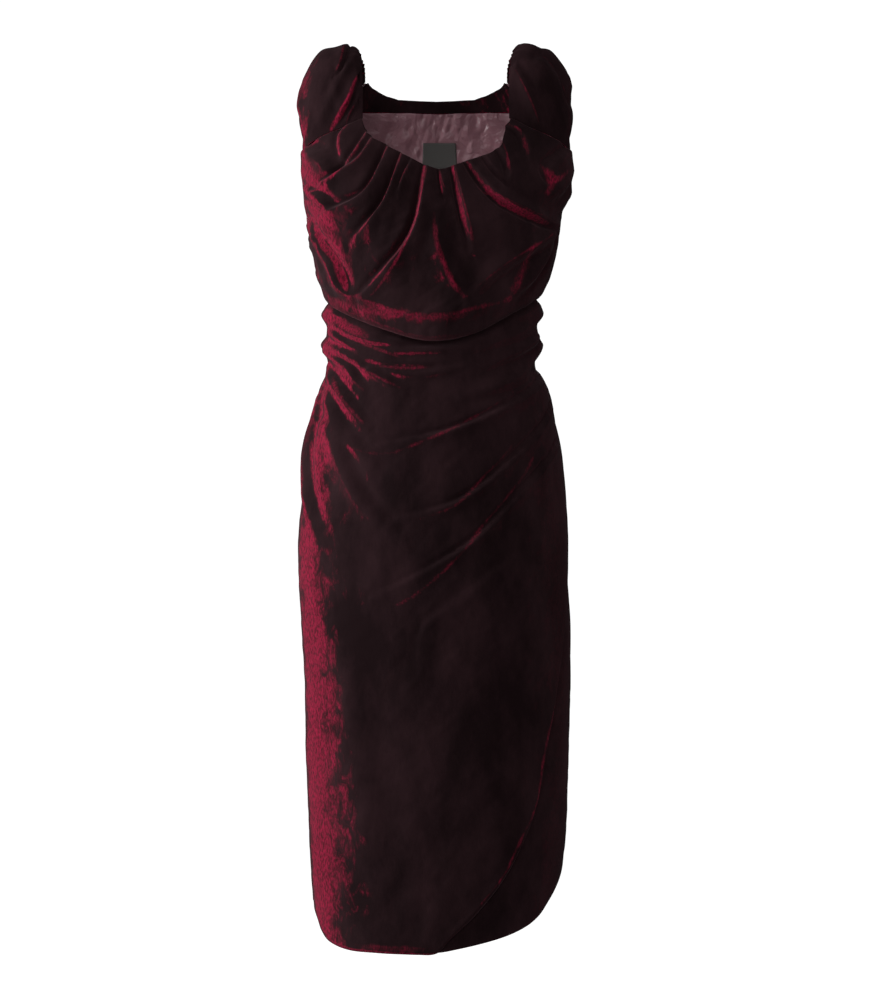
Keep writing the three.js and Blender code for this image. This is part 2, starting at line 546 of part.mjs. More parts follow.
const PIECES = [
  ["bodice_front", velvet, () => bodice(ALONG.front, FRONT_TOP, BLOUSE_SEAM, CELLS.bodiceFront,
    BLOUSE_FRONT, -SEAM_GAP / 2)],
  ["bodice_back", velvet, () => bodice(ALONG.back, BACK_TOP, BACK_SEAM, CELLS.bodiceBack,
    BLOUSE_SIDE, SEAM_GAP / 2)],
  ["shoulder_left", velvet, () => shoulder(-1, SHOULDER_FOLDS.left)],
  ["shoulder_right", velvet, () => shoulder(1, SHOULDER_FOLDS.right)],
  ["skirt_front", velvet, skirtFront],
  ["skirt_back", velvet, skirtBack],
  ["neck_band", velvet, () => insideBack(steps(BAND.from, BAND.to, CELLS.band[0]), bandTop, bandBottom,
    CELLS.band[1], backDepth, LAYER_WALL)],
  ["back_lining", satin, () => insideBack(steps(LINING.from, LINING.to, CELLS.lining[0]), liningTop,
    () => LINING.bottom, CELLS.lining[1], backDepth, LAYER_WALL)],
  ["label", woven, () => insideBack(steps(labelFrom, labelTo, CELLS.label[0]), () => LABEL.top,
    () => LABEL.top - LABEL.high, CELLS.label[1], backDepth + LAYER_WALL + LABEL.clearance, LABEL.wall)],
];

const dress = new THREE.Group();
dress.name = "midi_dress";
for (const [name, finish, make] of PIECES) {
  const mesh = new THREE.Mesh(make(), new THREE.MeshStandardMaterial(finish));
  mesh.name = name;
  dress.add(mesh);
}

export default dress;
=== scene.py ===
"""Draped velvet midi dress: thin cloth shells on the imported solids, with finishes, light and camera."""

import logging
import math
from dataclasses import dataclass
from enum import Enum
from typing import NamedTuple, Sequence

import bpy
import numpy as np
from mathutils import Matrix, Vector

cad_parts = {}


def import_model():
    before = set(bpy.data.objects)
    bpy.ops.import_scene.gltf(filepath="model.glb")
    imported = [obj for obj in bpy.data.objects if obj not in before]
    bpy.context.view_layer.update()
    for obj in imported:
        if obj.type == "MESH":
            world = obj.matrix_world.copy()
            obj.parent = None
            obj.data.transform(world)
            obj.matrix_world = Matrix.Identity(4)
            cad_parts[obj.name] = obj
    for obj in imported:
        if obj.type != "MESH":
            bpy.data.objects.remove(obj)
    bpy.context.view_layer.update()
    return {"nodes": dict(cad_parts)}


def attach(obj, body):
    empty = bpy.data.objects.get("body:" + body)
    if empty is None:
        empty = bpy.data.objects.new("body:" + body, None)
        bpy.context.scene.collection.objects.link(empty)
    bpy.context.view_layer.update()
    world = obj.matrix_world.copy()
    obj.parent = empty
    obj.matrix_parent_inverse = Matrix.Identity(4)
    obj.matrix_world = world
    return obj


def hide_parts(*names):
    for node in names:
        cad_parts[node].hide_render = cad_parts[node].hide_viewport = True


LOG = logging.getLogger("midi_dress")
MM = 0.001
SIDE = 90.0
MM_PER_DEGREE = 2.44
TINY = 1e-9
MIDDLE = 0.575
MOSTLY_LEVEL = (1, 1, 0.2)
WHITE = (1, 1, 1, 1)
# Mesh attribute with the strokes' painted highlight and painted shade, which the velvet mixes into its
# colour.
PAINTED_LIGHT = "painted_light"
SHADER = "Principled BSDF"


class Held(Enum):
    DRAPED = "draped"
    GATHERED = "gathered"
    HUNG = "hung"
    STRETCHED = "stretched"


class Section(NamedTuple):
    """One level of the body: half-widths, depths and squareness, in mm."""

    z: float
    left: float
    right: float
    front: float
    back: float
    square: float


class Stop(NamedTuple):
    """Height of an edge at an angle, in degrees and mm."""

    at: float
    z: float


class LightStroke(NamedTuple):
    """Painted highlight or painted shade along a path, mixed into the velvet's colour.

    Attributes:
        path: Points of the stroke.
        wide: Half-width in mm.
        force: Strength, 1 full painted highlight and -1 full painted shade.
    """

    path: tuple[tuple[float, float], ...]
    wide: float
    force: float


class Fold(NamedTuple):
    """Crest of one fold: its path, height, half-width and the share of the trough beside it, in mm.

    A sharp fold falls off steeply on the right of its path, as a pressed pleat does.
    """

    path: tuple[tuple[float, float], ...]
    rise: float
    wide: float
    trough: float
    sharp: bool = False


class Profile(NamedTuple):
    """Cross-section of a fold, in half-widths of the fold.

    Attributes:
        right: Stretch of the crest on the right of its path.
        left: Stretch of the crest on the left.
        power: Power of the crest's fall.
        trough_at: Place of the trough.
        trough_wide: Squared width of the trough.
    """

    right: float
    left: float
    power: float
    trough_at: float
    trough_wide: float


class Taper(NamedTuple):
    """How a path fades at its ends, in shares.

    Attributes:
        first: What is left at the start.
        grown: Part of the path passed where it is full.
        thins: Part passed where it starts to thin.
        last: What is left at the end.
    """

    first: float
    grown: float
    thins: float
    last: float

    def share(self, along: np.ndarray) -> np.ndarray:
        """What is left along the path: the rise from the start x the fall towards the end."""
        risen = self.first + (1 - self.first) * smooth(0, self.grown, along)
        return risen * (1 - (1 - self.last) * smooth(self.thins, 1, along))


class Places(NamedTuple):
    """Points in the two coordinates of a path.

    Attributes:
        across: First coordinate.
        up: Second coordinate.
        per_across: Millimetres for each unit of the first coordinate.
        per_up: Millimetres for each unit of the second.
    """

    across: np.ndarray
    up: np.ndarray
    per_across: float = MM_PER_DEGREE
    per_up: float = 1.0


PRESSED = Profile(right=0.38, left=1.5, power=1.8, trough_at=-0.85, trough_wide=0.16)
SOFT = Profile(right=1.0, left=1.0, power=1.7, trough_at=1.4, trough_wide=0.5)
FOLD_TAPER = Taper(first=0.6, grown=0.3, thins=0.6, last=0.2)
LIGHT_STROKE_TAPER = Taper(first=0.6, grown=0.2, thins=0.75, last=0.6)
SECTIONS = (
    Section(20, 172, 172, 50, 54, 2.8),
    Section(-20, 174, 174, 58, 64, 2.9),
    Section(-60, 177, 177, 70, 78, 3.0),
    Section(-100, 176, 177, 84, 88, 3.0),
    Section(-145, 176.5, 178.5, 104, 96, 3.0),
    Section(-180, 172, 176, 117, 99, 2.8),
    Section(-198, 170, 166, 122, 98, 2.6),
    Section(-215, 166, 161.5, 126, 97, 2.5),
    Section(-245, 162, 158.5, 129, 94, 2.3),
    Section(-280, 154, 150, 124, 89, 2.2),
    Section(-315, 144.5, 136, 112, 85, 2.2),
    Section(-333, 146, 137, 107, 84, 2.2),
    Section(-350, 141, 132, 103.5, 84, 2.2),
    Section(-373, 146, 136.5, 102, 86, 2.2),
    Section(-402, 140, 129.5, 102, 90, 2.2),
    Section(-430, 151, 146, 105, 97, 2.2),
    Section(-470, 160, 154.5, 110, 106, 2.2),
    Section(-510, 168, 163, 114, 115, 2.2),
    Section(-560, 172, 168, 117, 122, 2.2),
    Section(-610, 178.5, 171, 118, 126, 2.2),
    Section(-665, 179, 173, 118, 126, 2.2),
    Section(-720, 176, 175, 117, 123, 2.2),
    Section(-800, 171, 175, 115, 119, 2.2),
    Section(-900, 169, 173, 113, 115, 2.2),
    Section(-1000, 165, 169, 111, 112, 2.2),
    Section(-1060, 162, 163, 109, 110, 2.2),
    Section(-1150, 155, 158, 107, 108, 2.2),
)
FRONT_TOP = tuple(
    Stop(*row)
    for row in (
        (-90, -216), (-85, -206), (-81, -184), (-76, -128), (-68, -114), (-58, -100), (-51, -88),
        (-48, -103), (-44, -111), (-37, -120), (-32, -126), (-22, -136.5), (-16, -142.5), (-8, -150.5),
        (3, -156.5), (12, -151.5), (21, -145), (31, -138), (38, -131), (42, -123), (47, -104),
        (51, -88), (58, -100), (68, -114), (76, -128), (81, -184), (85, -206), (90, -216),
    )
)
BACK_TOP = tuple(
    Stop(*row)
    for row in (
        (90, -216), (95, -206), (99, -184), (104, -128), (109.5, -97), (116, -61), (123, -22),
        (126, -29), (136, -39), (144, -43.5), (163, -45), (180, -45.7), (197, -45), (216, -43.5),
        (224, -39), (234, -29), (237, -22), (244, -61), (250.5, -97), (256, -128), (261, -184),
        (265, -206), (270, -216),
    )
)
BLOUSE_SEAM = tuple(
    Stop(*row)
    for row in (
        (-90, -298), (-70, -312), (-40, -340), (-6, -359), (25, -350), (55, -318), (78, -298), (90, -296),
    )
)
BACK_SEAM = tuple(Stop(*row) for row in ((90, -296), (120, -304), (180, -312), (240, -306), (270, -298)))
DRAPE_HEM = tuple(
    Stop(*row)
    for row in (
        (-90, -1094), (-80, -1110), (-73, -1129), (-67, -1139), (-54, -1146), (-39, -1147),
        (-12, -1148), (1, -1146), (9, -1130), (26, -1098), (42, -1054), (52, -1007), (59, -954),
        (63, -889), (67, -848), (73, -766), (78, -700), (85, -640), (90, -596),
    )
)
UNDER_TOP = tuple(
    Stop(*row)
    for row in (
        (-15, -1106), (4, -1075), (25, -990), (40, -840), (50, -650), (55, -530), (60, -455),
        (65, -412), (70, -380), (75, -352), (80, -330), (85, -312), (90, -296.6),
    )
)
UNDER_HEM = tuple(
    Stop(*row)
    for row in (
        (-15, -1142), (0, -1146), (13, -1142.5), (36, -1132.5), (51, -1121.5), (63, -1104), (70, -1086),
        (77, -1069), (83, -1056), (90, -1045), (120, -1062), (180, -1108), (235, -1108), (270, -1094),
    )
)
NECKLINE = (-44.0, 42.0)
BAND_LEVEL = -61.0
NECK_ANGLES = (120.0, 240.0)
BODICE_FOLDS = (
    Fold(((-55, -90), (-57, -112), (-53, -140)), 4, 7, 0.6, True),
    Fold(((-46, -108), (-49, -144), (-56, -172)), 5, 7, 0.7, True),
    Fold(((-41, -112), (-46, -149), (-66, -181)), 6, 8, 0.7, True),
    Fold(((-31, -122), (-38, -187), (-64, -216)), 8, 9, 0.7, True),
    Fold(((-22, -132), (-28, -199), (-45, -252)), 8, 9, 0.7, True),
    Fold(((-16, -145), (-19, -166), (-21, -190)), 4, 6, 0.6, True),
    Fold(((-6, -154), (-13, -242), (-43, -321)), 9, 10, 0.7, True),
    Fold(((3, -157), (4, -174), (6, -200)), 4, 6, 0.6, True),
    Fold(((12, -149), (16, -210), (21, -262)), 7, 8, 0.7, True),
    Fold(((20, -139), (34, -190), (54, -214), (75, -225)), 8, 9, 0.7, True),
    Fold(((31, -132), (36, -160), (46, -186)), 4, 7, 0.6, True),
    Fold(((41, -122), (42, -151), (40, -176)), 4, 7, 0.6, True),
    Fold(((50, -92), (54, -114), (52, -146)), 5, 7, 0.6, True),
    Fold(((1, -212), (3, -275), (20, -327)), 6, 13, 0.6),
    Fold(((74, -126), (60, -153), (63, -176)), 6, 9, 0.6, True),
    Fold(((71, -226), (39, -274), (18, -320)), 8, 10, 0.6),
    Fold(((70, -240), (57, -288), (40, -331)), 7, 9, 0.6),
    Fold(((-78, -222), (-60, -279), (-53, -324)), 8, 10, 0.7),
    Fold(((-74, -128), (-62, -142), (-56, -168)), 6, 9, 0.6),
    Fold(((-74, -178), (-62, -193), (-55, -212)), 5, 8, 0.6),
    Fold(((-84, -238), (-72, -262), (-66, -292)), 4, 8, 0.6),
    Fold(((-80, -290), (-40, -322), (-6, -339), (26, -331), (60, -302)), 8, 15, 0.0),
    Fold(((78, -150), (64, -178), (58, -196)), 5, 9, 0.5),
)
BODICE_BACK_FOLDS = (
    Fold(((131, -42), (122, -110), (108, -168)), 4, 12, 0.5),
    Fold(((146, -60), (138, -130), (120, -205)), 3.5, 13, 0.4),
    Fold(((214, -60), (223, -128), (241, -200)), 3.5, 13, 0.4),
    Fold(((229, -42), (238, -108), (252, -170)), 4, 12, 0.5),
    Fold(((168, -240), (150, -276), (128, -296)), 3, 12, 0.4),
    Fold(((194, -236), (212, -270), (234, -292)), 3, 12, 0.4),
)
SKIRT_FOLDS = (
    Fold(((-92, -333), (-43, -371), (3, -388)), 5, 8, 0.6),
    Fold(((-76, -356), (-41, -387), (30, -381)), 5, 6, 0.6),
    Fold(((-92, -371), (-38, -399), (24, -401)), 5.5, 8, 0.6),
    Fold(((-82, -384), (-59, -406), (-46, -437)), 5, 6, 0.6),
    Fold(((-57, -396), (-38, -418), (-21, -438)), 4, 7, 0.5),
    Fold(((-84, -402), (-62, -436), (-42, -482)), 5, 7, 0.6),
    Fold(((-43, -409), (-11, -415), (28, -404)), 4, 6, 0.5),
    Fold(((92, -327), (58, -360), (30, -378)), 4, 8, 0.6),
    Fold(((78, -362), (58, -383), (23, -414)), 5, 7, 0.6),
    Fold(((92, -371), (49, -422), (16, -441)), 5, 9, 0.6),
    Fold(((86, -410), (56, -443), (15, -483), (-35, -506)), 4.5, 6, 0.7, True),
    Fold(((80, -454), (57, -498), (18, -571), (-24, -599)), 4, 6, 0.7, True),
    Fold(((76, -504), (52, -556), (19, -631), (-37, -698)), 4, 6, 0.7, True),
    Fold(((60, -628), (7, -712), (-7, -738), (-10, -778)), 1.6, 12, 0.5, True),
    Fold(((-80, -445), (-82, -535), (-64, -631)), 7, 11, 0.6),
    Fold(((-72, -440), (-56, -491), (-38, -526)), 5, 10, 0.5),
    Fold(((-70, -480), (-61, -498), (-44, -574), (-20, -627)), 5, 11, 0.5),
    Fold(((-54, -740), (-46, -900), (-36, -1130)), 6, 26, 0.2),
    Fold(
        ((14, -1118), (26, -1094), (42, -1049), (52, -1001), (59, -948), (66, -852), (76, -720)),
        2, 4, 0.3, True,
    ),
)
SKIRT_BACK_FOLDS = (
    Fold(((98, -334), (140, -352), (172, -358)), 4, 11, 0.4),
    Fold(((96, -374), (132, -398), (160, -406)), 4, 12, 0.4),
    Fold(((264, -338), (226, -356), (192, -366)), 4, 11, 0.4),
    Fold(((264, -376), (232, -404), (206, -424)), 4, 12, 0.4),
    Fold(((104, -452), (122, -520), (136, -600)), 4, 17, 0.3),
    Fold(((258, -470), (240, -540), (226, -640)), 4, 17, 0.3),
)
# Painted light on the bodice: positive strokes are painted highlights along fold crests and lit slopes,
# negative ones are painted shade in hollows and along the left outline.
BODICE_PAINTED_LIGHT = (
    LightStroke(((-90, -222), (-90, -260), (-88, -300), (-84, -322)), 12, -1.0),
    LightStroke(((-83, -236), (-74, -253), (-70, -268), (-67, -282), (-64, -303)), 12, -1.3),
    LightStroke(((-55, -176), (-52, -188), (-45, -196)), 6, -0.9),
    LightStroke(((-50, -202), (-46, -212), (-43, -224)), 8, -0.8),
    LightStroke(((-68, -224), (-60, -234), (-52, -240)), 6, -0.3),
    LightStroke(((-68, -130), (-64, -147), (-60, -162)), 8, -0.9),
    LightStroke(((-52, -205), (-48, -250), (-46, -293)), 9, -0.75),
    LightStroke(((-74, -300), (-58, -314), (-46, -322), (-36, -330)), 9, -0.9),
    LightStroke(((-72, -318), (-40, -350), (-6, -370), (25, -361), (55, -329)), 5, -0.9),
    LightStroke(((-74, -212), (-65, -246), (-57, -270), (-52, -300), (-50, -318)), 3.8, 1.1),
    LightStroke(((-55, -92), (-57, -112), (-53, -140)), 1.8, 0.5),
    LightStroke(((-46, -110), (-49, -144), (-56, -172), (-72, -184)), 2, 0.6),
    LightStroke(((-41, -114), (-46, -149), (-66, -181)), 2, 0.5),
    LightStroke(((-31, -126), (-38, -170), (-44, -192), (-60, -212), (-76, -213)), 2, 0.6),
    LightStroke(((-22, -134), (-28, -190), (-35, -220), (-46, -252)), 2.2, 0.6),
    LightStroke(((-16, -147), (-19, -166)), 1.8, 0.42),
    LightStroke(((-6, -156), (-12, -225), (-20, -270), (-38, -322)), 2.4, 0.75),
    LightStroke(((3, -160), (4, -174), (6, -184)), 1.8, 0.55),
    LightStroke(((12, -153), (15, -194), (19, -238)), 1.7, 0.55),
    LightStroke(((18, -236), (20, -250)), 4.5, 0.5),
    LightStroke(((-1, -214), (0, -245), (4, -275), (9, -300), (16, -318)), 5.5, 0.6),
    LightStroke(((21, -165), (27, -185), (34, -192), (43, -203), (53, -212), (68, -215)), 1.9, 0.46),
    LightStroke(((50, -96), (53, -108), (52, -137)), 2, 0.5),
    LightStroke(((43, -121), (41, -162)), 2, 0.5),
    LightStroke(((57, -150), (61, -166), (71, -152)), 5, 0.6),
    LightStroke(((61, -166), (57, -190)), 6, 0.55),
    LightStroke(((71, -226), (41, -270), (18, -318)), 2.2, 0.42),
    LightStroke(((53, -250), (49, -285), (43, -318)), 8, 0.5),
    LightStroke(((-25, -330), (-14, -339), (-2, -343), (11, -340), (26, -331), (43, -322)), 5, 0.5),
)
# Painted light on the skirt drape: painted highlights along the ruches, the diagonal creases and the drape's
# edge, painted shade in the hip's hollow.
SKIRT_PAINTED_LIGHT = (
    LightStroke(((-79, -470), (-82, -500), (-80, -530), (-76, -556), (-67, -600)), 5, -0.9),
    LightStroke(((-58, -528), (-50, -568), (-43, -600)), 8, -0.9),
    LightStroke(((-76, -480), (-72, -513), (-66, -540), (-62, -578)), 7, 0.6),
    LightStroke(((-78, -334), (-60, -352), (-44, -368)), 6, 0.75),
    LightStroke(((-72, -360), (-51, -388)), 4, 0.55),
    LightStroke(((-52, -373), (-25, -393)), 3, 0.5),
    LightStroke(((-56, -399), (-24, -432)), 3, 0.55),
    LightStroke(((-70, -392), (-46, -435)), 3.5, 0.6),
    LightStroke(((-70, -415), (-44, -476)), 3.5, 0.55),
    LightStroke(((-40, -404), (-20, -407), (-3, -406)), 3, 0.55),
    LightStroke(
        ((52, -434), (32, -461), (9, -485), (-11, -502), (-26, -514), (-40, -514), (-54, -503)),
        3.3, 0.44,
    ),
    LightStroke(((47, -501), (37, -526), (19, -567), (9, -584), (-10, -598)), 3.3, 0.42),
    LightStroke(((59, -511), (49, -548), (31, -598), (9, -655), (-19, -702), (-33, -705)), 3.6, 0.44),
    LightStroke(((-56, -1139), (-23, -1141), (2, -1141)), 6, 0.45),
    LightStroke(
        (
            (73, -763), (68, -834), (62, -892), (58, -958), (50.5, -1001), (41, -1050), (25, -1094),
            (12, -1120),
        ),
        2.4, 0.48,
    ),
)
CAP_CREASES = (
    ((0.16, 88), (0.27, 52), (0.37, 41)),
    ((0.1, 31), (0.2, 19), (0.3, 11), (0.46, 2)),
    ((0.1, 13), (0.21, 6), (0.26, 0)),
)
# Painted highlights along the left cap's creases.
CAP_PAINTED_LIGHT_LEFT = (
    LightStroke(CAP_CREASES[0], 3, 0.5),
    LightStroke(CAP_CREASES[1], 4, 1.0),
    LightStroke(CAP_CREASES[2], 2.5, 0.5),
)
# Painted highlights along the right cap's creases.
CAP_PAINTED_LIGHT_RIGHT = (
    LightStroke(((0.1, 38), (0.36, 13), (0.46, 2)), 2.5, 0.4),
    LightStroke(((0.3, 60), (0.56, 64), (0.76, 62)), 2.5, 0.35),
)
RIDGE = np.array(
    [
        (0, 100.5, 9), (0.06, 105, 14), (0.16, 114, 15.5), (0.28, 131, 14), (0.4, 149, 10), (0.5, 160, -4),
        (0.6, 168, -20), (0.71, 174.5, -42), (0.8, 178, -62), (0.91, 177, -86), (1, 171.5, -106),
    ]
)
FRONT_JOIN = np.array([(0, 51, -88), (0.3, 58, -100), (0.7, 68, -114), (1, 76, -128)])
BACK_JOIN = np.array([(0, 123, -22), (0.35, 116, -61), (0.7, 109.5, -97), (1, 104, -128)])
SHOULDER_FOLDS_LEFT = (
    Fold(CAP_CREASES[0], 4, 7, 0.7, True),
    Fold(CAP_CREASES[1], 6, 8, 0.7, True),
    Fold(CAP_CREASES[2], 4, 6, 0.7, True),
    Fold(((0.04, 60), (0.42, 24), (0.7, 14)), 3, 10, 0.5),
    Fold(((0.66, 80), (0.78, 72), (0.84, 50)), 4, 10, 0.6),
    Fold(((0.05, 120), (0.3, 140), (0.6, 150)), 4, 10, 0.5),
)
SHOULDER_FOLDS_RIGHT = (
    Fold(((0.3, 60), (0.56, 64), (0.76, 62), (0.8, 110)), -5, 8, 0),
    Fold(((0.1, 84), (0.36, 66)), 4, 9, 0.5),
    Fold(((0.1, 38), (0.36, 13), (0.46, 2)), 4, 9, 0.5),
    Fold(((0.6, 84), (0.74, 80)), 4, 12, 0.4),
    Fold(((0.05, 126), (0.3, 142), (0.6, 148)), 4, 10, 0.5),
)


def smooth(low: float, high: float, place: np.ndarray) -> np.ndarray:
    """Rise from 0 to 1 between two places: 3t² - 2t³.

    Args:
        low: Place where the rise starts.
        high: Place where it ends.
        place: Places to read.

    Returns:
        Values from 0 to 1.
    """
    t = np.clip((place - low) / (high - low), 0.0, 1.0)
    return t * t * (3.0 - 2.0 * t)


def hermite(keys: np.ndarray, values: np.ndarray, place: np.ndarray) -> np.ndarray:
    """Smooth curve through rows: cubic Hermite steps with the mean slope of the neighbouring rows.

    Args:
        keys: Rising keys of the rows.
        values: Value of each row.
        place: Places to read.

    Returns:
        Values at the places.
    """
    slopes = np.empty_like(values, dtype=float)
    slopes[1:-1] = (values[2:] - values[:-2]) / (keys[2:] - keys[:-2])
    slopes[0] = (values[1] - values[0]) / (keys[1] - keys[0])
    slopes[-1] = (values[-1] - values[-2]) / (keys[-1] - keys[-2])
    i = np.clip(np.searchsorted(keys, place, side="right") - 1, 0, len(keys) - 2)
    span = keys[i + 1] - keys[i]
    t = np.clip((place - keys[i]) / span, 0.0, 1.0)
    t2, t3 = t * t, t * t * t
    return (
        (2 * t3 - 3 * t2 + 1) * values[i]
        + (t3 - 2 * t2 + t) * span * slopes[i]
        + (3 * t2 - 2 * t3) * values[i + 1]
        + (t3 - t2) * span * slopes[i + 1]
    )


def column(rows: np.ndarray, k: int, place: np.ndarray) -> np.ndarray:
    """Smooth curve through one column of a table whose first column has the keys.

    Args:
        rows: Table with rising keys.
        k: Number of the column.
        place: Places to read.

    Returns:
        Values at the places.
    """
    return hermite(rows[:, 0], rows[:, k], place)


def straight_edge(stops: Sequence[Stop], angle: np.ndarray) -> np.ndarray:
    """Edge height by straight steps, so that its corners stay.

    Args:
        stops: Rows of the edge.
        angle: Angles in degrees.

    Returns:
        Heights in mm.
    """
    return np.interp(angle, [s.at for s in stops], [s.z for s in stops])


def soft_edge(stops: Sequence[Stop], angle: np.ndarray) -> np.ndarray:
    """Edge height by smooth steps.

    Args:
        stops: Rows of the edge.
        angle: Angles in degrees.

    Returns:
        Heights in mm.
    """
    return column(np.array(stops, dtype=float), 1, angle)


def neck_edge(stops: Sequence[Stop], angle: np.ndarray) -> np.ndarray:
    """Edge height by straight steps, but by smooth steps along the front neckline.

    Args:
        stops: Rows of the edge.
        angle: Angles in degrees.

    Returns:
        Heights in mm.
    """
    neckline = (angle > NECKLINE[0]) & (angle < NECKLINE[1])
    return np.where(neckline, soft_edge(stops, angle), straight_edge(stops, angle))


def signed(angle: np.ndarray) -> np.ndarray:
    """Angles from -180 to 180 degrees: one turn less past the back.

    Args:
        angle: Angles from -180 to 360 degrees.

    Returns:
        Angles in degrees.
    """
    return np.where(angle > 2 * SIDE, angle - 4 * SIDE, angle)


def body_radius(angle: np.ndarray, z: np.ndarray) -> np.ndarray:
    """Distance of the body's surface from its upright axis.

    The section is a rounded oval: (|sin|/width)^n + (|cos|/depth)^n = reach^-n.

    Args:
        angle: Angles in degrees, 0 at the front.
        z: Heights in mm.

    Returns:
        Distances in mm.
    """
    rows = np.array(SECTIONS, dtype=float)[::-1]
    turn = np.radians(angle)
    left, right, front, back, square = (column(rows, k, z) for k in range(1, 6))
    wide = np.where(np.sin(turn) >= 0, right, left)
    deep = np.where(np.cos(turn) >= 0, front, back)
    total = (np.abs(np.sin(turn)) / wide) ** square + (np.abs(np.cos(turn)) / deep) ** square
    return total ** (-1.0 / square)


def round_body(angle: np.ndarray, reach: np.ndarray, z: np.ndarray) -> np.ndarray:
    """Points at angles, distances from the upright axis and heights.

    Args:
        angle: Angles in degrees.
        reach: Distances in mm.
        z: Heights in mm.

    Returns:
        Points, three values on the last axis.
    """
    turn = np.radians(angle)
    return np.stack([reach * np.sin(turn), -reach * np.cos(turn), z * np.ones_like(turn)], -1)


def smooth_path(path: Sequence[tuple[float, float]], pieces: int = 6) -> np.ndarray:
    """Smooth curve through the points of a path.

    Args:
        path: Points of the path.
        pieces: Straight pieces for each span.

    Returns:
        Points of the curve.
    """
    rows = np.array(path, dtype=float)
    keys = np.arange(len(rows), dtype=float)
    place = np.linspace(0, len(rows) - 1, (len(rows) - 1) * pieces + 1)
    return np.stack([hermite(keys, rows[:, 0], place), hermite(keys, rows[:, 1], place)], -1)


def path_place(path: Sequence, at: Places) -> tuple[np.ndarray, np.ndarray]:
    """Place of points beside a path.

    Args:
        path: Points of the path.
        at: Points to read.

    Returns:
        Distances from the path in mm, negative on its right, and the share of the path passed there.
    """
    shape = np.broadcast(at.across, at.up).shape
    best = np.full(shape, np.inf)
    side = np.zeros(shape)
    along = np.zeros(shape)
    curve = smooth_path(path)
    last = len(curve) - 1
    for i, ((ax, ay), (bx, by)) in enumerate(zip(curve, curve[1:])):
        dx, dy = (bx - ax) * at.per_across, (by - ay) * at.per_up
        px, py = (at.across - ax) * at.per_across, (at.up - ay) * at.per_up
        t = np.clip((px * dx + py * dy) / (dx * dx + dy * dy), 0.0, 1.0)
        far = np.hypot(px - dx * t, py - dy * t)
        nearer = far < best
        best = np.where(nearer, far, best)
        side = np.where(nearer, np.where(dx * py - dy * px < 0, -1.0, 1.0), side)
        along = np.where(nearer, (i + t) / last, along)
    return side * best, along


def painted_light_force(strokes: Sequence[LightStroke], at: Places) -> np.ndarray:
    """Painted highlight and painted shade of the strokes: force x taper x exp(-(distance / width)^2),
    summed.

    Args:
        strokes: Strokes whose paths use the same two coordinates as the points.
        at: Points to read.

    Returns:
        Forces, shaped as the points.
    """
    total = np.zeros(np.broadcast(at.across, at.up).shape)
    for stroke in strokes:
        far, along = path_place(stroke.path, at)
        total += stroke.force * LIGHT_STROKE_TAPER.share(along) * np.exp(-((far / stroke.wide) ** 2))
    return total


def body_painted_light(strokes: Sequence[LightStroke], grid: np.ndarray) -> np.ndarray:
    """Painted highlight and painted shade of strokes on a panel round the body.

    Args:
        strokes: Strokes with angles and heights.
        grid: Grid of points in mm.

    Returns:
        Forces, one for each point.
    """
    angle = np.degrees(np.arctan2(grid[..., 0], -grid[..., 1]))
    return painted_light_force(strokes, Places(angle, grid[..., 2]))


def fold_height(folds: Sequence[Fold], at: Places) -> np.ndarray:
    """Height of folds: a crest exp(-|place|^power) along each path and a narrower trough beside it.

    Args:
        folds: Folds whose paths use the same two coordinates as the points.
        at: Points to read.

    Returns:
        Heights in mm, shaped as the points.
    """
    total = np.zeros(np.broadcast(at.across, at.up).shape)
    for fold in folds:
        far, along = path_place(fold.path, at)
        place = far / fold.wide
        form = PRESSED if fold.sharp else SOFT
        crest = np.exp(-np.abs(np.where(place < 0, place / form.right, place / form.left)) ** form.power)
        trough = fold.trough * np.exp(-((place - form.trough_at) ** 2) / form.trough_wide)
        total += fold.rise * FOLD_TAPER.share(along) * (crest - trough)
    return total


@dataclass(frozen=True)
class Ripple:
    """Small uneven creases: value noise stretched along one direction.

    Attributes:
        high: Height of the creases in mm.
        long: Length of a crease in mm.
        short: Width of a crease in mm.
        turn: Direction of the creases in degrees from level.
        seed: Seed of the noise.
        lattice: Rows and columns of random values.
    """

    high: float
    long: float
    short: float
    turn: float
    seed: int
    lattice: int = 256

    def height(self, x: np.ndarray, z: np.ndarray) -> np.ndarray:
        """Noise on a turned lattice, smoothly blended between its random corner values.

        Args:
            x: Distance round the body in mm.
            z: Height in mm.

        Returns:
            Heights in mm.
        """
        c, s = math.cos(math.radians(self.turn)), math.sin(math.radians(self.turn))
        u = (x * c + z * s) / self.long
        v = (-x * s + z * c) / self.short
        values = np.random.default_rng(self.seed).uniform(-1, 1, (self.lattice, self.lattice))
        iu, iv = np.floor(u).astype(int), np.floor(v).astype(int)
        fu, fv = smooth(0, 1, u - iu), smooth(0, 1, v - iv)
        rows = []
        for up in (0, 1):
            left, right = (values[(iu + a) % self.lattice, (iv + up) % self.lattice] for a in (0, 1))
            rows.append(left * (1 - fu) + right * fu)
        return self.high * (rows[0] * (1 - fv) + rows[1] * fv)


FINE = (Ripple(0.7, 40, 9, 70, 1), Ripple(0.5, 24, 6, 30, 2))
CALM = (Ripple(0.6, 70, 22, 60, 3), Ripple(0.35, 26, 8, 35, 4))
CRINKLE = (Ripple(2.2, 30, 13, 25, 7), Ripple(1.4, 16, 8, 120, 8))


def ripple_height(ripples: Sequence[Ripple], angle: np.ndarray, z: np.ndarray) -> np.ndarray | int:
    """Small creases on a panel round the body, summed.

    Args:
        ripples: Kinds of small creases.
        angle: Angles in degrees.
        z: Heights in mm.

    Returns:
        Heights in mm.
    """
    return sum(ripple.height(angle * MM_PER_DEGREE, z) for ripple in ripples)


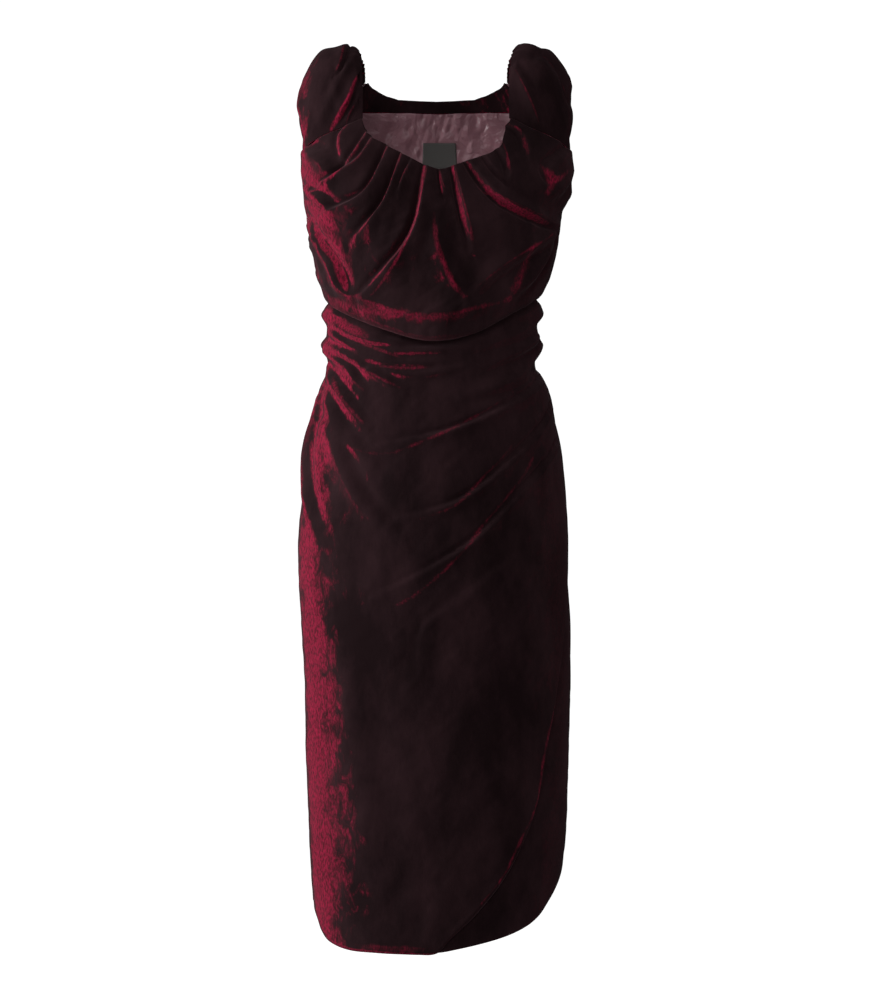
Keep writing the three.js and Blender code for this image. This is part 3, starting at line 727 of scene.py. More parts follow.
def grid_area(grid: np.ndarray) -> float:
    """Area of a grid of points: half the cross product of each cell's diagonals, summed.

    Args:
        grid: Points in mm.

    Returns:
        Area in square metres.
    """
    one = grid[1:, 1:] - grid[:-1, :-1]
    two = grid[1:, :-1] - grid[:-1, 1:]
    return float(np.linalg.norm(np.cross(one, two), axis=2).sum() / 2 * MM * MM)


@dataclass(frozen=True)
class Cloth:
    """Facts of one cloth piece.

    Attributes:
        name: Name of the object and of the CAD node that it replaces.
        slot: Material slot; not used.
        flat: Width and length of the flat cut in metres; not used.
        held: How it is held; not used.
        rests_on: Nodes that it hangs from or lies on; not used.
    """

    name: str
    slot: str
    flat: tuple[float, float]
    held: Held
    rests_on: tuple[str, ...] = ()


def unit_normals(grid: np.ndarray) -> np.ndarray:
    """Unit normals of a grid of points: the cross product of its two gradients, divided by its length.

    Args:
        grid: Points, three values on the last axis.

    Returns:
        Normals, shaped as the grid.
    """
    normal = np.cross(np.gradient(grid, axis=1), np.gradient(grid, axis=0))
    return normal / np.maximum(np.linalg.norm(normal, axis=2, keepdims=True), TINY)


def shell_object(
    cloth: Cloth, outer: np.ndarray, thick: float, materials: Sequence, force: np.ndarray | None
) -> bpy.types.Object:
    """Closed thin shell from an outer grid: the inner grid is outer - thick x unit normal, rims join both.

    Args:
        cloth: Facts of the piece.
        outer: Grid of points (rows, columns, 3) in mm.
        thick: Thickness in mm.
        materials: Outer and inner material.
        force: Painted highlight and painted shade of the strokes, one value for each point.

    Returns:
        The linked object, fixed to the root body.
    """
    rows, columns = outer.shape[:2]
    normal = unit_normals(outer)
    middle = outer.reshape(-1, 3).mean(0) * (1, 1, 0)
    flip = 1 if np.sum(normal * (outer - middle) * MOSTLY_LEVEL) > 0 else -1
    inner = outer - thick * flip * normal
    points = np.concatenate([outer.reshape(-1, 3), inner.reshape(-1, 3)]) * MM
    index = np.arange(rows * columns).reshape(rows, columns)
    quads = np.stack([index[:-1, :-1], index[:-1, 1:], index[1:, 1:], index[1:, :-1]], -1).reshape(-1, 4)
    back = rows * columns
    ring = np.concatenate([index[0, :-1], index[:-1, -1], index[-1, :0:-1], index[:0:-1, 0]])
    after = np.roll(ring, -1)
    rim = np.stack([ring, ring + back, after + back, after], -1)
    faces = np.concatenate([quads[:, ::-flip], quads[:, ::flip] + back, rim[:, ::-flip]])
    inside = np.zeros(len(faces), np.int32)
    inside[len(quads) : 2 * len(quads)] = 1
    mesh = bpy.data.meshes.new(cloth.name)
    mesh.vertices.add(len(points))
    mesh.vertices.foreach_set("co", points.astype(np.float32).ravel())
    mesh.loops.add(faces.size)
    mesh.loops.foreach_set("vertex_index", faces.astype(np.int32).ravel())
    mesh.polygons.add(len(faces))
    mesh.polygons.foreach_set("loop_start", np.arange(0, faces.size, 4, dtype=np.int32))
    mesh.polygons.foreach_set("loop_total", np.full(len(faces), 4, np.int32))
    mesh.polygons.foreach_set("material_index", inside)
    mesh.polygons.foreach_set("use_smooth", np.ones(len(faces), bool))
    mesh.update(calc_edges=True)
    mesh.validate()
    # Painted light: the strokes' painted highlight and shade go on the mesh as a point attribute.
    if force is not None:
        layer = mesh.attributes.new(PAINTED_LIGHT, "FLOAT", "POINT")
        layer.data.foreach_set("value", np.tile(force.ravel(), 2).astype(np.float32))
    for material in materials:
        mesh.materials.append(material)
    piece = bpy.data.objects.new(cloth.name + "_cloth", mesh)
    bpy.context.scene.collection.objects.link(piece)
    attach(piece, "root")
    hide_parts(cloth.name)
    LOG.info("%s: %d points, %.3f m2", piece.name, len(points), grid_area(outer))
    return piece


@dataclass(frozen=True)
class Blouse:
    """Loop of the bodice's lower edge, in mm.

    Attributes:
        drop: Depth of the loop below the seam.
        side: Fullness at the sides.
        front: Fullness at the front.
        rise: Height over which the fullness grows.
        step: Step of the skirt behind the loop.
        fade: Height over which the step goes.
        square: Power that squares the loop's underside.
    """

    drop: float = 14
    side: float = 6.5
    front: float = 21
    rise: float = 95
    step: float = 7.8
    fade: float = 12
    square: float = 0.6

    def width(self, angle: np.ndarray, full: float) -> np.ndarray:
        """Fullness at an angle: side + (full - side) x cos^1.3.

        Args:
            angle: Angles in degrees.
            full: Fullness at the front of the panel.

        Returns:
            Fullness in mm.
        """
        return self.side + (full - self.side) * np.maximum(0, np.cos(np.radians(angle))) ** 1.3


BLOUSE = Blouse()


@dataclass(kw_only=True)
class Panel:
    """One cloth piece, made from a grid of points.

    Attributes:
        cloth: Facts of the piece.
        cells: Steps across and down the piece, and round its loop if it has one.
        thick: Thickness in mm.
    """

    cloth: Cloth
    cells: tuple[int, ...]
    thick: float = 1.1

    def grid(self) -> np.ndarray:
        """Grid of points in mm; each kind of panel has its own."""
        raise NotImplementedError

    def force(self, grid: np.ndarray) -> np.ndarray | None:
        """Painted highlight and painted shade at the grid's points; a plain panel has none."""
        return None

    def build(self, materials: Sequence) -> bpy.types.Object:
        """Builds the piece.

        Args:
            materials: Outer and inner material.

        Returns:
            The object.
        """
        grid = self.grid()
        return shell_object(self.cloth, grid, self.thick, materials, self.force(grid))


@dataclass(kw_only=True)
class Bodice(Panel):
    """Front or back of the bodice with its blousing loop.

    Attributes:
        start: Angle of the first side seam in degrees.
        top: Upper edge.
        seam: Waist seam.
        full: Fullness of the loop in the panel's middle in mm.
        ripples: Kinds of small creases.
        flat_at_seam: Share of the folds left at the seam.
        folds_full: Height above the seam where the folds are full, in mm.
    """

    start: float
    top: Sequence[Stop]
    seam: Sequence[Stop]
    full: float
    ripples: Sequence[Ripple]
    flat_at_seam: float = 0.35
    folds_full: float = 26

    def grid(self) -> np.ndarray:
        """Rows from the upper edge down, then round the loop and up to the seam.

        Returns:
            Grid of points in mm.
        """
        columns, rows, loop = self.cells
        angle = np.linspace(self.start, self.start + 2 * SIDE, columns + 1)[None, :]
        high = neck_edge(self.top, angle)
        low = soft_edge(self.seam, angle)
        z = high + (low - high) * np.linspace(0, 1, rows + 1)[:, None]
        width = BLOUSE.width(angle, self.full)
        swell = (width - BLOUSE.side) * smooth(BLOUSE.rise, 0, z - low)
        reach = body_radius(angle, z) + swell + self.relief(angle + 0 * z, z, low)
        turn = (np.arange(1, loop + 1) * math.pi / loop)[:, None]
        loop_z = low - BLOUSE.drop * np.abs(np.sin(turn)) ** BLOUSE.square
        edge_relief = self.relief(angle, low, low) * (1 + np.cos(turn)) / 2
        tuck = width * (1 - np.cos(turn)) / 2
        loop_reach = body_radius(angle, loop_z) + width - BLOUSE.side - tuck + edge_relief
        return np.concatenate([round_body(angle, reach, z), round_body(angle, loop_reach, loop_z)])

    def relief(self, angle: np.ndarray, z: np.ndarray, low: np.ndarray) -> np.ndarray:
        """Folds and small creases, the same on both panels at the side seams.

        Args:
            angle: Angles in degrees.
            z: Heights in mm.
            low: Height of the seam in mm.

        Returns:
            Heights in mm.
        """
        folds = fold_height(BODICE_FOLDS, Places(signed(angle), z))
        folds = folds + fold_height(BODICE_BACK_FOLDS, Places(angle, z))
        share = self.flat_at_seam + (1 - self.flat_at_seam) * smooth(0, self.folds_full, z - low)
        return folds * share + ripple_height(self.ripples, angle, z)

    def force(self, grid: np.ndarray) -> np.ndarray:
        """Painted highlight and painted shade of the bodice's strokes at the grid's points."""
        return body_painted_light(BODICE_PAINTED_LIGHT, grid)


@dataclass(kw_only=True)
class Skirt(Panel):
    """Front drape or back of the skirt, from the waist seam to the hem or the free edge.

    Attributes:
        angles: First and last angle in degrees.
        ripples: Kinds of small creases.
        under: Whether it is the back, which runs on under the drape.
        even: Share of evenly spaced rows; the rest crowds them at the waist.
        lap: Depth below the drape in mm.
        lap_fade: Angle over which the lap goes, past the side.
        side_fade: Half of the angle over which the drape's folds start.
        bare: Drop below the drape's edge where the lap starts to go and is gone, in mm.
        tuck_free: Drop from the seam where folds start and are full, in mm.
    """

    angles: tuple[float, float]
    ripples: Sequence[Ripple]
    under: bool
    even: float = 0.6
    lap: float = 3.6
    lap_fade: float = 9
    side_fade: float = 2
    bare: tuple[float, float] = (30, 150)
    tuck_free: tuple[float, float] = (4.2, 18)

    def edges(self, angle: np.ndarray) -> tuple[np.ndarray, np.ndarray, np.ndarray]:
        """Heights of the waist seam, the upper edge and the lower edge.

        Args:
            angle: Angles in degrees.

        Returns:
            Three arrays in mm.
        """
        if not self.under:
            seam = soft_edge(BLOUSE_SEAM, angle)
            return seam, seam, soft_edge(DRAPE_HEM, angle)
        seam = np.where(angle < SIDE, soft_edge(BLOUSE_SEAM, angle), soft_edge(BACK_SEAM, angle))
        top = np.where(angle < SIDE, straight_edge(UNDER_TOP, angle), seam)
        return seam, top, soft_edge(UNDER_HEM, angle)

    def grid(self) -> np.ndarray:
        """Rows from the upper to the lower edge, closer together at the waist.

        Returns:
            Grid of points in mm.
        """
        columns, rows = self.cells
        angle = np.linspace(*self.angles, columns + 1)[None, :]
        seam, top, end = self.edges(angle)
        t = np.linspace(0, 1, rows + 1)[:, None]
        z = top + (end - top) * (self.even * t + (1 - self.even) * t * t)
        angle = angle + 0 * z
        tucked = BLOUSE.step * (1 - smooth(BLOUSE.drop, BLOUSE.drop + BLOUSE.fade, seam - z))
        lap, shown = 0, 1
        if self.under:
            bare = smooth(*self.bare, soft_edge(DRAPE_HEM, angle) - z)
            lap = self.lap * (1 - smooth(SIDE, SIDE + self.lap_fade, angle)) * (1 - bare)
            shown = smooth(SIDE - self.side_fade, SIDE + self.side_fade, angle)
        folds = shown * fold_height(SKIRT_FOLDS, Places(signed(angle), z))
        folds = folds + fold_height(SKIRT_BACK_FOLDS, Places(angle, z))
        folds = folds * smooth(*self.tuck_free, seam - z)
        small = ripple_height(self.ripples, angle, z)
        return round_body(angle, body_radius(angle, z) - tucked - lap + folds + small, z)

    def force(self, grid: np.ndarray) -> np.ndarray:
        """Painted highlight and painted shade of the drape's strokes at the grid's points; the back has
        none.
        """
        return body_painted_light(() if self.under else SKIRT_PAINTED_LIGHT, grid)


@dataclass(kw_only=True)
class Shoulder(Panel):
    """Cap over one shoulder, gathered along the neck edge.

    Attributes:
        side: -1 on the viewer's left, 1 on the right.
        folds: Folds, with shares from neck to sleeve and turns over the shoulder in degrees.
        strokes: Strokes of painted highlight, with the same coordinates.
        puff: Height of the puff at the front and back in mm.
        edge_power: Power that squares the arc at the neck.
        edge_ease: Part of that power gone at the sleeve.
        gathers: Gathers for each half-turn.
        gather_high: Height of the gathers in mm.
        gather_reach: Share from the neck over which they fade.
        gather_even: Share of their height that is the same all along.
        gather_waves: Swells of the rest, for each turn.
        even: Share of evenly spaced rows; the rest crowds them at the neck.
        across: Length from neck to sleeve in mm.
        per_degree: Millimetres for each degree over the shoulder.
        seam_fade: Turn over which folds start beside the seams, in degrees.
        crush: Small creases.
    """

    side: int
    folds: Sequence[Fold]
    strokes: Sequence[LightStroke]
    cells: tuple[int, int] = (130, 200)
    puff: float = 11
    edge_power: float = 5
    edge_ease: float = 3.6
    gathers: int = 17
    gather_high: float = 1.4
    gather_reach: float = 0.09
    gather_even: float = 0.6
    gather_waves: float = 5
    even: float = 0.55
    across: float = 178
    per_degree: float = 1.2
    seam_fade: float = 16
    crush: Ripple = Ripple(0.8, 60, 14, 60, 5)

    def places(self) -> Places:
        """Shares from neck to sleeve, closer together at the neck, and turns over the shoulder.

        Returns:
            Points with shares from 0 to 1 and angles in degrees.
        """
        s = np.linspace(0, 1, self.cells[0] + 1)[:, None]
        turn = np.linspace(0, 2 * SIDE, self.cells[1] + 1)[None, :]
        s = s * (self.even + (1 - self.even) * s)
        return Places(s + 0 * turn, turn + 0 * s, self.across, self.per_degree)

    def grid(self) -> np.ndarray:
        """Arcs from the front join over the ridge to the back join, one for each step from neck to sleeve.

        Height of an arc is foot + (ridge - foot) x sin(turn); its depth goes with cos(turn).

        Returns:
            Grid of points in mm.
        """
        at = self.places()
        s, turn = at.across, np.radians(at.up)
        front = at.up <= SIDE
        angle, z = (np.where(front, column(FRONT_JOIN, k, s), column(BACK_JOIN, k, s)) for k in (1, 2))
        foot = round_body(angle, body_radius(angle * self.side, z), z)
        ridge_x, ridge_z = (column(RIDGE, k, s) for k in (1, 2))
        up = np.sin(turn)
        puff = self.puff * np.sin(2 * turn) * np.sin(np.pi * s)
        x = foot[..., 0] + (ridge_x - foot[..., 0]) * up ** (self.edge_power - self.edge_ease * s)
        y = foot[..., 1] * np.abs(np.cos(turn)) - puff
        grid = np.stack([self.side * x, y, foot[..., 2] + (ridge_z - foot[..., 2]) * up], -1)
        normal = unit_normals(grid)
        normal *= np.sign(normal[self.cells[0] // 2, self.cells[1] // 2, 2])
        seam = smooth(0, self.seam_fade, at.up) * smooth(0, self.seam_fade, 2 * SIDE - at.up)
        high = self.gather_even + (1 - self.gather_even) * np.cos(self.gather_waves * turn)
        gathers = high * np.exp(-s / self.gather_reach) * np.cos(2 * self.gathers * turn)
        lift = self.gather_high * gathers + fold_height(self.folds, at)
        lift = lift + self.crush.height(s * self.across, at.up * self.per_degree)
        return grid + (lift * seam)[..., None] * normal

    def force(self, grid: np.ndarray) -> np.ndarray:
        """Painted highlights of the cap's strokes at the grid's points."""
        return painted_light_force(self.strokes, self.places())


@dataclass(kw_only=True)
class NeckLayer(Panel):
    """Band, lining or label inside the back of the neck.

    Attributes:
        angles: First and last angle in degrees.
        top: Highest level in mm, or None for the neck edge.
        bottom: Lower level in mm, or None for the band's lower edge.
        depth: Depth inside the back panel in mm.
        below_edge: Drop below the neck edge in mm.
        gap: Gap between band and lining in mm.
        band_high: Height of the band in mm.
        ripples: Kinds of small creases.
        gathers: Half-height of the gathers at the ends in mm.
        gather_reach: Angle over which they fade.
        gather_turns: Gathers for each full turn.
    """

    angles: tuple[float, float]
    top: float | None = None
    bottom: float | None = None
    depth: float
    below_edge: float = 0.4
    gap: float = 0.3
    band_high: float = 16.5
    ripples: Sequence[Ripple] = ()
    gathers: float = 0.0
    gather_reach: float = 5
    gather_turns: float = 120

    def grid(self) -> np.ndarray:
        """Rows between the upper and lower edge, inside the back panel's form.

        Returns:
            Grid of points in mm.
        """
        columns, rows = self.cells
        angle = np.linspace(*self.angles, columns + 1)[None, :]
        edge = straight_edge(BACK_TOP, angle) - self.below_edge
        band_end = np.minimum(edge - self.band_high, BAND_LEVEL)
        high = edge if self.top is None else np.minimum(band_end - self.gap, self.top)
        low = band_end if self.bottom is None else self.bottom
        z = high + (low - high) * np.linspace(0, 1, rows + 1)[:, None]
        angle = angle + 0 * z
        relief = fold_height(BODICE_BACK_FOLDS, Places(angle, z)) + ripple_height(self.ripples, angle, z)
        ends = np.exp(-np.minimum(angle - self.angles[0], self.angles[1] - angle) / self.gather_reach)
        relief = relief - self.gathers * ends * (1 + np.cos(np.radians(angle * self.gather_turns)))
        return round_body(angle, body_radius(angle, z) - self.depth + relief, z)


@dataclass(frozen=True)
class VelvetFinish:
    """Crushed velvet, nearly black, with a painted crimson highlight on slopes that turn from the viewer
    towards the lamps.

    Attributes:
        name: Material name.
        deep: Colour of the velvet itself, nearly black, shown where no painted highlight is.
        lit: Colour of the painted highlight.
        sheen: Colour of the sheen.
        haze: Weight of the sheen.
        turn_low: Turn away from the viewer at which the painted highlight starts.
        turn_high: Turn at which the painted highlight is full.
        rim: Turn at which the painted highlight starts to fade again to painted shade, towards the outline.
        droop: Share by which a slope that faces down counts as turned further: painted highlight from the
            low lamp.
        ragged: Share by which the crush's random patches move those turns and the edges of the painted
            strokes.
        lamp_side: Direction towards the key and low lamps; slopes that turn that way get the painted
            highlight.
        rest: Share of the painted highlight left on slopes turned away from the lamps.
    """

    name: str = "crushed_velvet"
    deep: tuple = (0.015, 0.0065, 0.0078, 1)
    lit: tuple = (0.27, 0.0105, 0.039, 1)
    sheen: tuple = (0.55, 0.34, 0.38, 1)
    haze: float = 0.15
    turn_low: float = 0.2
    turn_high: float = 0.44
    rim: float = 0.7
    droop: float = 0.5
    ragged: float = 0.9
    lamp_side: tuple = (-0.9, 0.0, -0.6)
    rest: float = 0.05

    def build(self) -> bpy.types.Material:
        """Makes the material.

        Returns:
            The material.
        """
        material, tree, shader = new_material(self.name)
        group = tree.nodes.new("ShaderNodeGroup")
        group.node_tree = crushed_pile_and_painted_light_group()
        look = {"Deep": self.deep, "Lit": self.lit, "Lamp Side": self.lamp_side, "Rest": self.rest, "Rim": self.rim}
        look |= {"Low": self.turn_low, "High": self.turn_high, "Droop": self.droop, "Ragged": self.ragged}
        set_inputs(group, look)
        geometry = add_node(tree, "NewGeometry")
        # Painted highlight and painted shade of the strokes, read from the mesh.
        painted_light = add_node(tree, "Attribute", attribute_name=PAINTED_LIGHT)
        # Turn from the viewer, which the group turns into painted highlight.
        facing = add_node(tree, "LayerWeight", {"Blend": 0.5})
        rows = (
            (object_mapping(tree), "Vector", group, "Vector"),
            (geometry, "Normal", group, "Slope"),
            (painted_light, "Fac", group, "Brush"),
            (facing, "Facing", group, "Turn"),
            (group, "Colour", shader, "Base Color"),
            (group, "Normal", shader, "Normal"),
        )
        join(tree, rows)
        set_inputs(shader, {"Roughness": 0.9, "Specular IOR Level": 0.04, "Sheen Roughness": 0.5})
        set_inputs(shader, {"Sheen Weight": self.haze, "Sheen Tint": self.sheen})
        return material


@dataclass(frozen=True)
class SatinFinish:
    """Crinkled satin lining.

    Attributes:
        name: Material name.
        colour: Colour of the cloth.
        gloss: Roughness.
        sheen: Weight of the sheen.
        crinkle: Crinkles per metre.
        relief: Distance of the crinkles in metres.
    """

    name: str = "satin_lining"
    colour: tuple = (0.32, 0.15, 0.18, 1)
    gloss: float = 0.3
    sheen: float = 0.2
    crinkle: float = 40.0
    relief: float = 0.005

    def build(self) -> bpy.types.Material:
        """Makes the material.

        Returns:
            The material.
        """
        material, tree, shader = new_material(self.name)
        noise = add_node(tree, "TexNoise", {"Scale": self.crinkle, "Detail": 5, "Distortion": 1.4})
        add_relief(tree, noise, self.relief)
        set_inputs(shader, {"Base Color": self.colour, "Roughness": self.gloss, "Sheen Weight": self.sheen})
        return material


@dataclass(frozen=True)
class WovenFinish:
    """Plain woven label.

    Attributes:
        name: Material name.
        colour: Colour of the weave.
        rough: Roughness.
        threads: Scale of the thread pattern.
        relief: Distance of the weave in metres.
    """

    name: str = "woven_label"
    colour: tuple = (0.075, 0.07, 0.066, 1)
    rough: float = 0.6
    threads: float = 400.0
    relief: float = 0.0001

    def build(self) -> bpy.types.Material:
        """Makes the material.

        Returns:
            The material.
        """
        material, tree, shader = new_material(self.name)
        add_relief(tree, add_node(tree, "TexWave", {"Scale": self.threads}), self.relief)
        set_inputs(shader, {"Base Color": self.colour, "Roughness": self.rough})
        return material


def new_material(name: str) -> tuple[bpy.types.Material, bpy.types.NodeTree, bpy.types.Node]:
    """New material with its node tree and its shader.

    Args:
        name: Material name.

    Returns:
        Material, tree and shader node.
    """
    material = bpy.data.materials.new(name)
    material.use_nodes = True
    return material, material.node_tree, material.node_tree.nodes[SHADER]


def set_inputs(node: bpy.types.Node, values: dict) -> None:
    """Sets a node's inputs.

    Args:
        node: Node to change.
        values: Value of each input, by its name or number.
    """
    for name, value in values.items():
        node.inputs[name].default_value = value


def add_node(
    tree: bpy.types.NodeTree, kind: str, values: dict | None = None, **settings: str
) -> bpy.types.Node:
    """New shader node.

    Args:
        tree: Tree that gets the node.
        kind: Type of the node, without its prefix.
        values: Value of each input, by its name or number.
        **settings: Other settings of the node.

    Returns:
        The node.
    """
    node = tree.nodes.new("ShaderNode" + kind)
    for name, setting in settings.items():
        setattr(node, name, setting)
    set_inputs(node, values or {})
    return node


def join(tree: bpy.types.NodeTree, rows: Sequence[tuple]) -> None:
    """Joins nodes.

    Args:
        tree: Tree of the nodes.
        rows: Node, its output, next node and its input, one row for each link.
    """
    for source, output, target, entry in rows:
        tree.links.new(source.outputs[output], target.inputs[entry])


def add_relief(tree: bpy.types.NodeTree, pattern: bpy.types.Node, distance: float) -> None:
    """Bump from a pattern in object coordinates, on the tree's shader.

    Args:
        tree: Node tree of a material.
        pattern: Texture node with a Vector input and a Fac output.
        distance: Distance of the bump in metres.
    """
    bump = add_node(tree, "Bump", {"Distance": distance})
    rows = (
        (object_mapping(tree), "Vector", pattern, "Vector"),
        (pattern, "Fac", bump, "Height"),
        (bump, "Normal", tree.nodes[SHADER], "Normal"),
    )
    join(tree, rows)


def object_mapping(tree: bpy.types.NodeTree) -> bpy.types.Node:
    """Mapping node that moves object coordinates to the dress's middle.

    Args:
        tree: Node tree of a material.

    Returns:
        The node.
    """
    mapping = add_node(tree, "Mapping", {"Location": (0, 0, MIDDLE)})
    join(tree, ((add_node(tree, "TexCoord"), "Object", mapping, "Vector"),))
    return mapping


def crushed_pile_and_painted_light_group() -> bpy.types.NodeTree:
    """Node group of the crushed pile and its painted light: patches of painted highlight show once the cloth
    turns from the viewer towards the lamps.

    Crush is Ragged x (patch noise - 0.5). Painted highlight by turn is a ramp from Low to High over Turn +
    crush - Droop x slope's Z, multiplied by how far the slope faces the lamps (Slope . Lamp Side), by a fade
    past Rim and by 1 + Painted Light where the strokes paint shade. Painted highlight by the strokes is a
    ramp over Painted Light + crush. The larger of both, multiplied by specks, mixes Deep and Lit.

    Returns:
        The group, with inputs Vector, Slope, Lamp Side, Turn, Low, High, Rim, Droop, Ragged, Rest, Painted
        Light, Deep and
        Lit and outputs Colour and Normal.
    """
    known = bpy.data.node_groups.get("CrushedPileAndPaintedLight")
    if known:
        return known
    group = bpy.data.node_groups.new("CrushedPileAndPaintedLight", "ShaderNodeTree")
    for names, way, kind in (
        (("Vector", "Slope", "Lamp Side"), "INPUT", "Vector"),
        (("Turn", "Low", "High", "Rim", "Droop", "Ragged", "Rest", "Brush"), "INPUT", "Float"),
        (("Deep", "Lit"), "INPUT", "Color"),
        (("Colour",), "OUTPUT", "Color"),
        (("Normal",), "OUTPUT", "Vector"),
    ):
        for name in names:
            group.interface.new_socket(name, in_out=way, socket_type="NodeSocket" + kind)
    start = group.nodes.new("NodeGroupInput")
    end = group.nodes.new("NodeGroupOutput")
    soft = {"interpolation_type": "SMOOTHSTEP"}
    squeeze = add_node(group, "Mapping", {"Scale": (1.0, 1.0, 0.5), "Rotation": (0.0, 0.35, 0.0)})
    patches = add_node(group, "TexNoise", {"Scale": 62, "Detail": 7, "Roughness": 0.68, "Distortion": 0.7})
    specks = add_node(group, "TexNoise", {"Scale": 430, "Detail": 3})
    clouds = add_node(group, "TexNoise", {"Scale": 14, "Detail": 6, "Roughness": 0.65})
    cloudy = add_node(group, "MapRange", {"From Min": 0.38, "From Max": 0.7, "To Min": 0.7, "To Max": 2.0})
    base = add_node(group, "VectorMath", operation="SCALE")
    shift = add_node(group, "Math", {1: 0.5}, operation="SUBTRACT")
    spread, stroke = (add_node(group, "Math", operation="MULTIPLY_ADD") for _ in range(2))
    parts = add_node(group, "SeparateXYZ")
    down, inner, lamp_lit, kept, mask = (add_node(group, "Math", operation="MULTIPLY") for _ in range(5))
    lean, edge = (add_node(group, "Math", operation="SUBTRACT") for _ in range(2))
    # Painted highlight by turn from the viewer, faded to painted shade towards the outline.
    fading = add_node(group, "MapRange", {"From Max": 0.14, "To Min": 1.0, "To Max": 0.12}, **soft)
    ramp = add_node(group, "MapRange", **soft)
    shade = add_node(group, "MapRange", {"From Min": 0.36, "From Max": 0.64, "To Min": 0.2})
    # Painted highlight only on slopes that face the lamps.
    along = add_node(group, "VectorMath", operation="DOT_PRODUCT")
    toward_lamps = add_node(group, "MapRange", {"From Min": -0.05, "From Max": 0.5}, **soft)
    # Painted shade and painted highlight of the strokes.
    keep = add_node(group, "MapRange", {"From Min": -1.0, "From Max": 0.0})
    glow = add_node(group, "MapRange", {"From Min": 0.24, "From Max": 0.8}, **soft)
    either = add_node(group, "Math", operation="MAXIMUM")
    # Mix of the velvet's own colour and the painted highlight colour.
    mix = add_node(group, "Mix", data_type="RGBA")
    bump = add_node(group, "Bump", {"Strength": 0.8, "Distance": 0.0007})
    rows = (
        (start, "Vector", squeeze, "Vector"), (squeeze, "Vector", patches, "Vector"),
        (squeeze, "Vector", specks, "Vector"), (squeeze, "Vector", clouds, "Vector"),
        (patches, "Fac", shift, 0), (shift, "Value", spread, 0),
        (start, "Ragged", spread, 1), (start, "Turn", spread, 2),
        (start, "Slope", parts, "Vector"), (parts, "Z", down, 0),
        (start, "Droop", down, 1), (spread, "Value", lean, 0),
        (down, "Value", lean, 1), (lean, "Value", ramp, "Value"),
        (start, "Low", ramp, "From Min"), (start, "High", ramp, "From Max"),
        (spread, "Value", edge, 0), (start, "Rim", edge, 1),
        (edge, "Value", fading, "Value"), (specks, "Fac", shade, "Value"),
        (start, "Slope", along, 0), (start, "Lamp Side", along, 1),
        (along, "Value", toward_lamps, "Value"), (start, "Rest", toward_lamps, "To Min"),
        (ramp, "Result", lamp_lit, 0), (toward_lamps, "Result", lamp_lit, 1),
        (lamp_lit, "Value", inner, 0), (fading, "Result", inner, 1),
        (start, "Brush", keep, "Value"), (inner, "Value", kept, 0),
        (keep, "Result", kept, 1), (shift, "Value", stroke, 0),
        (start, "Ragged", stroke, 1), (start, "Brush", stroke, 2),
        (stroke, "Value", glow, "Value"), (kept, "Value", either, 0),
        (glow, "Result", either, 1), (either, "Value", mask, 0),
        (shade, "Result", mask, 1), (mask, "Value", mix, "Factor"),
        (clouds, "Fac", cloudy, "Value"), (start, "Deep", base, 0),
        (cloudy, "Result", base, "Scale"), (base, "Vector", mix, "A"),
        (start, "Lit", mix, "B"), (patches, "Fac", bump, "Height"),
        (mix, "Result", end, "Colour"), (bump, "Normal", end, "Normal"),
    )
    join(group, rows)
    return group


class Lamp(NamedTuple):
    """Area light that faces the dress: name, place, width and height in metres, and power in watts."""

    name: str
    place: tuple[float, float, float]
    size: tuple[float, float]
    power: float


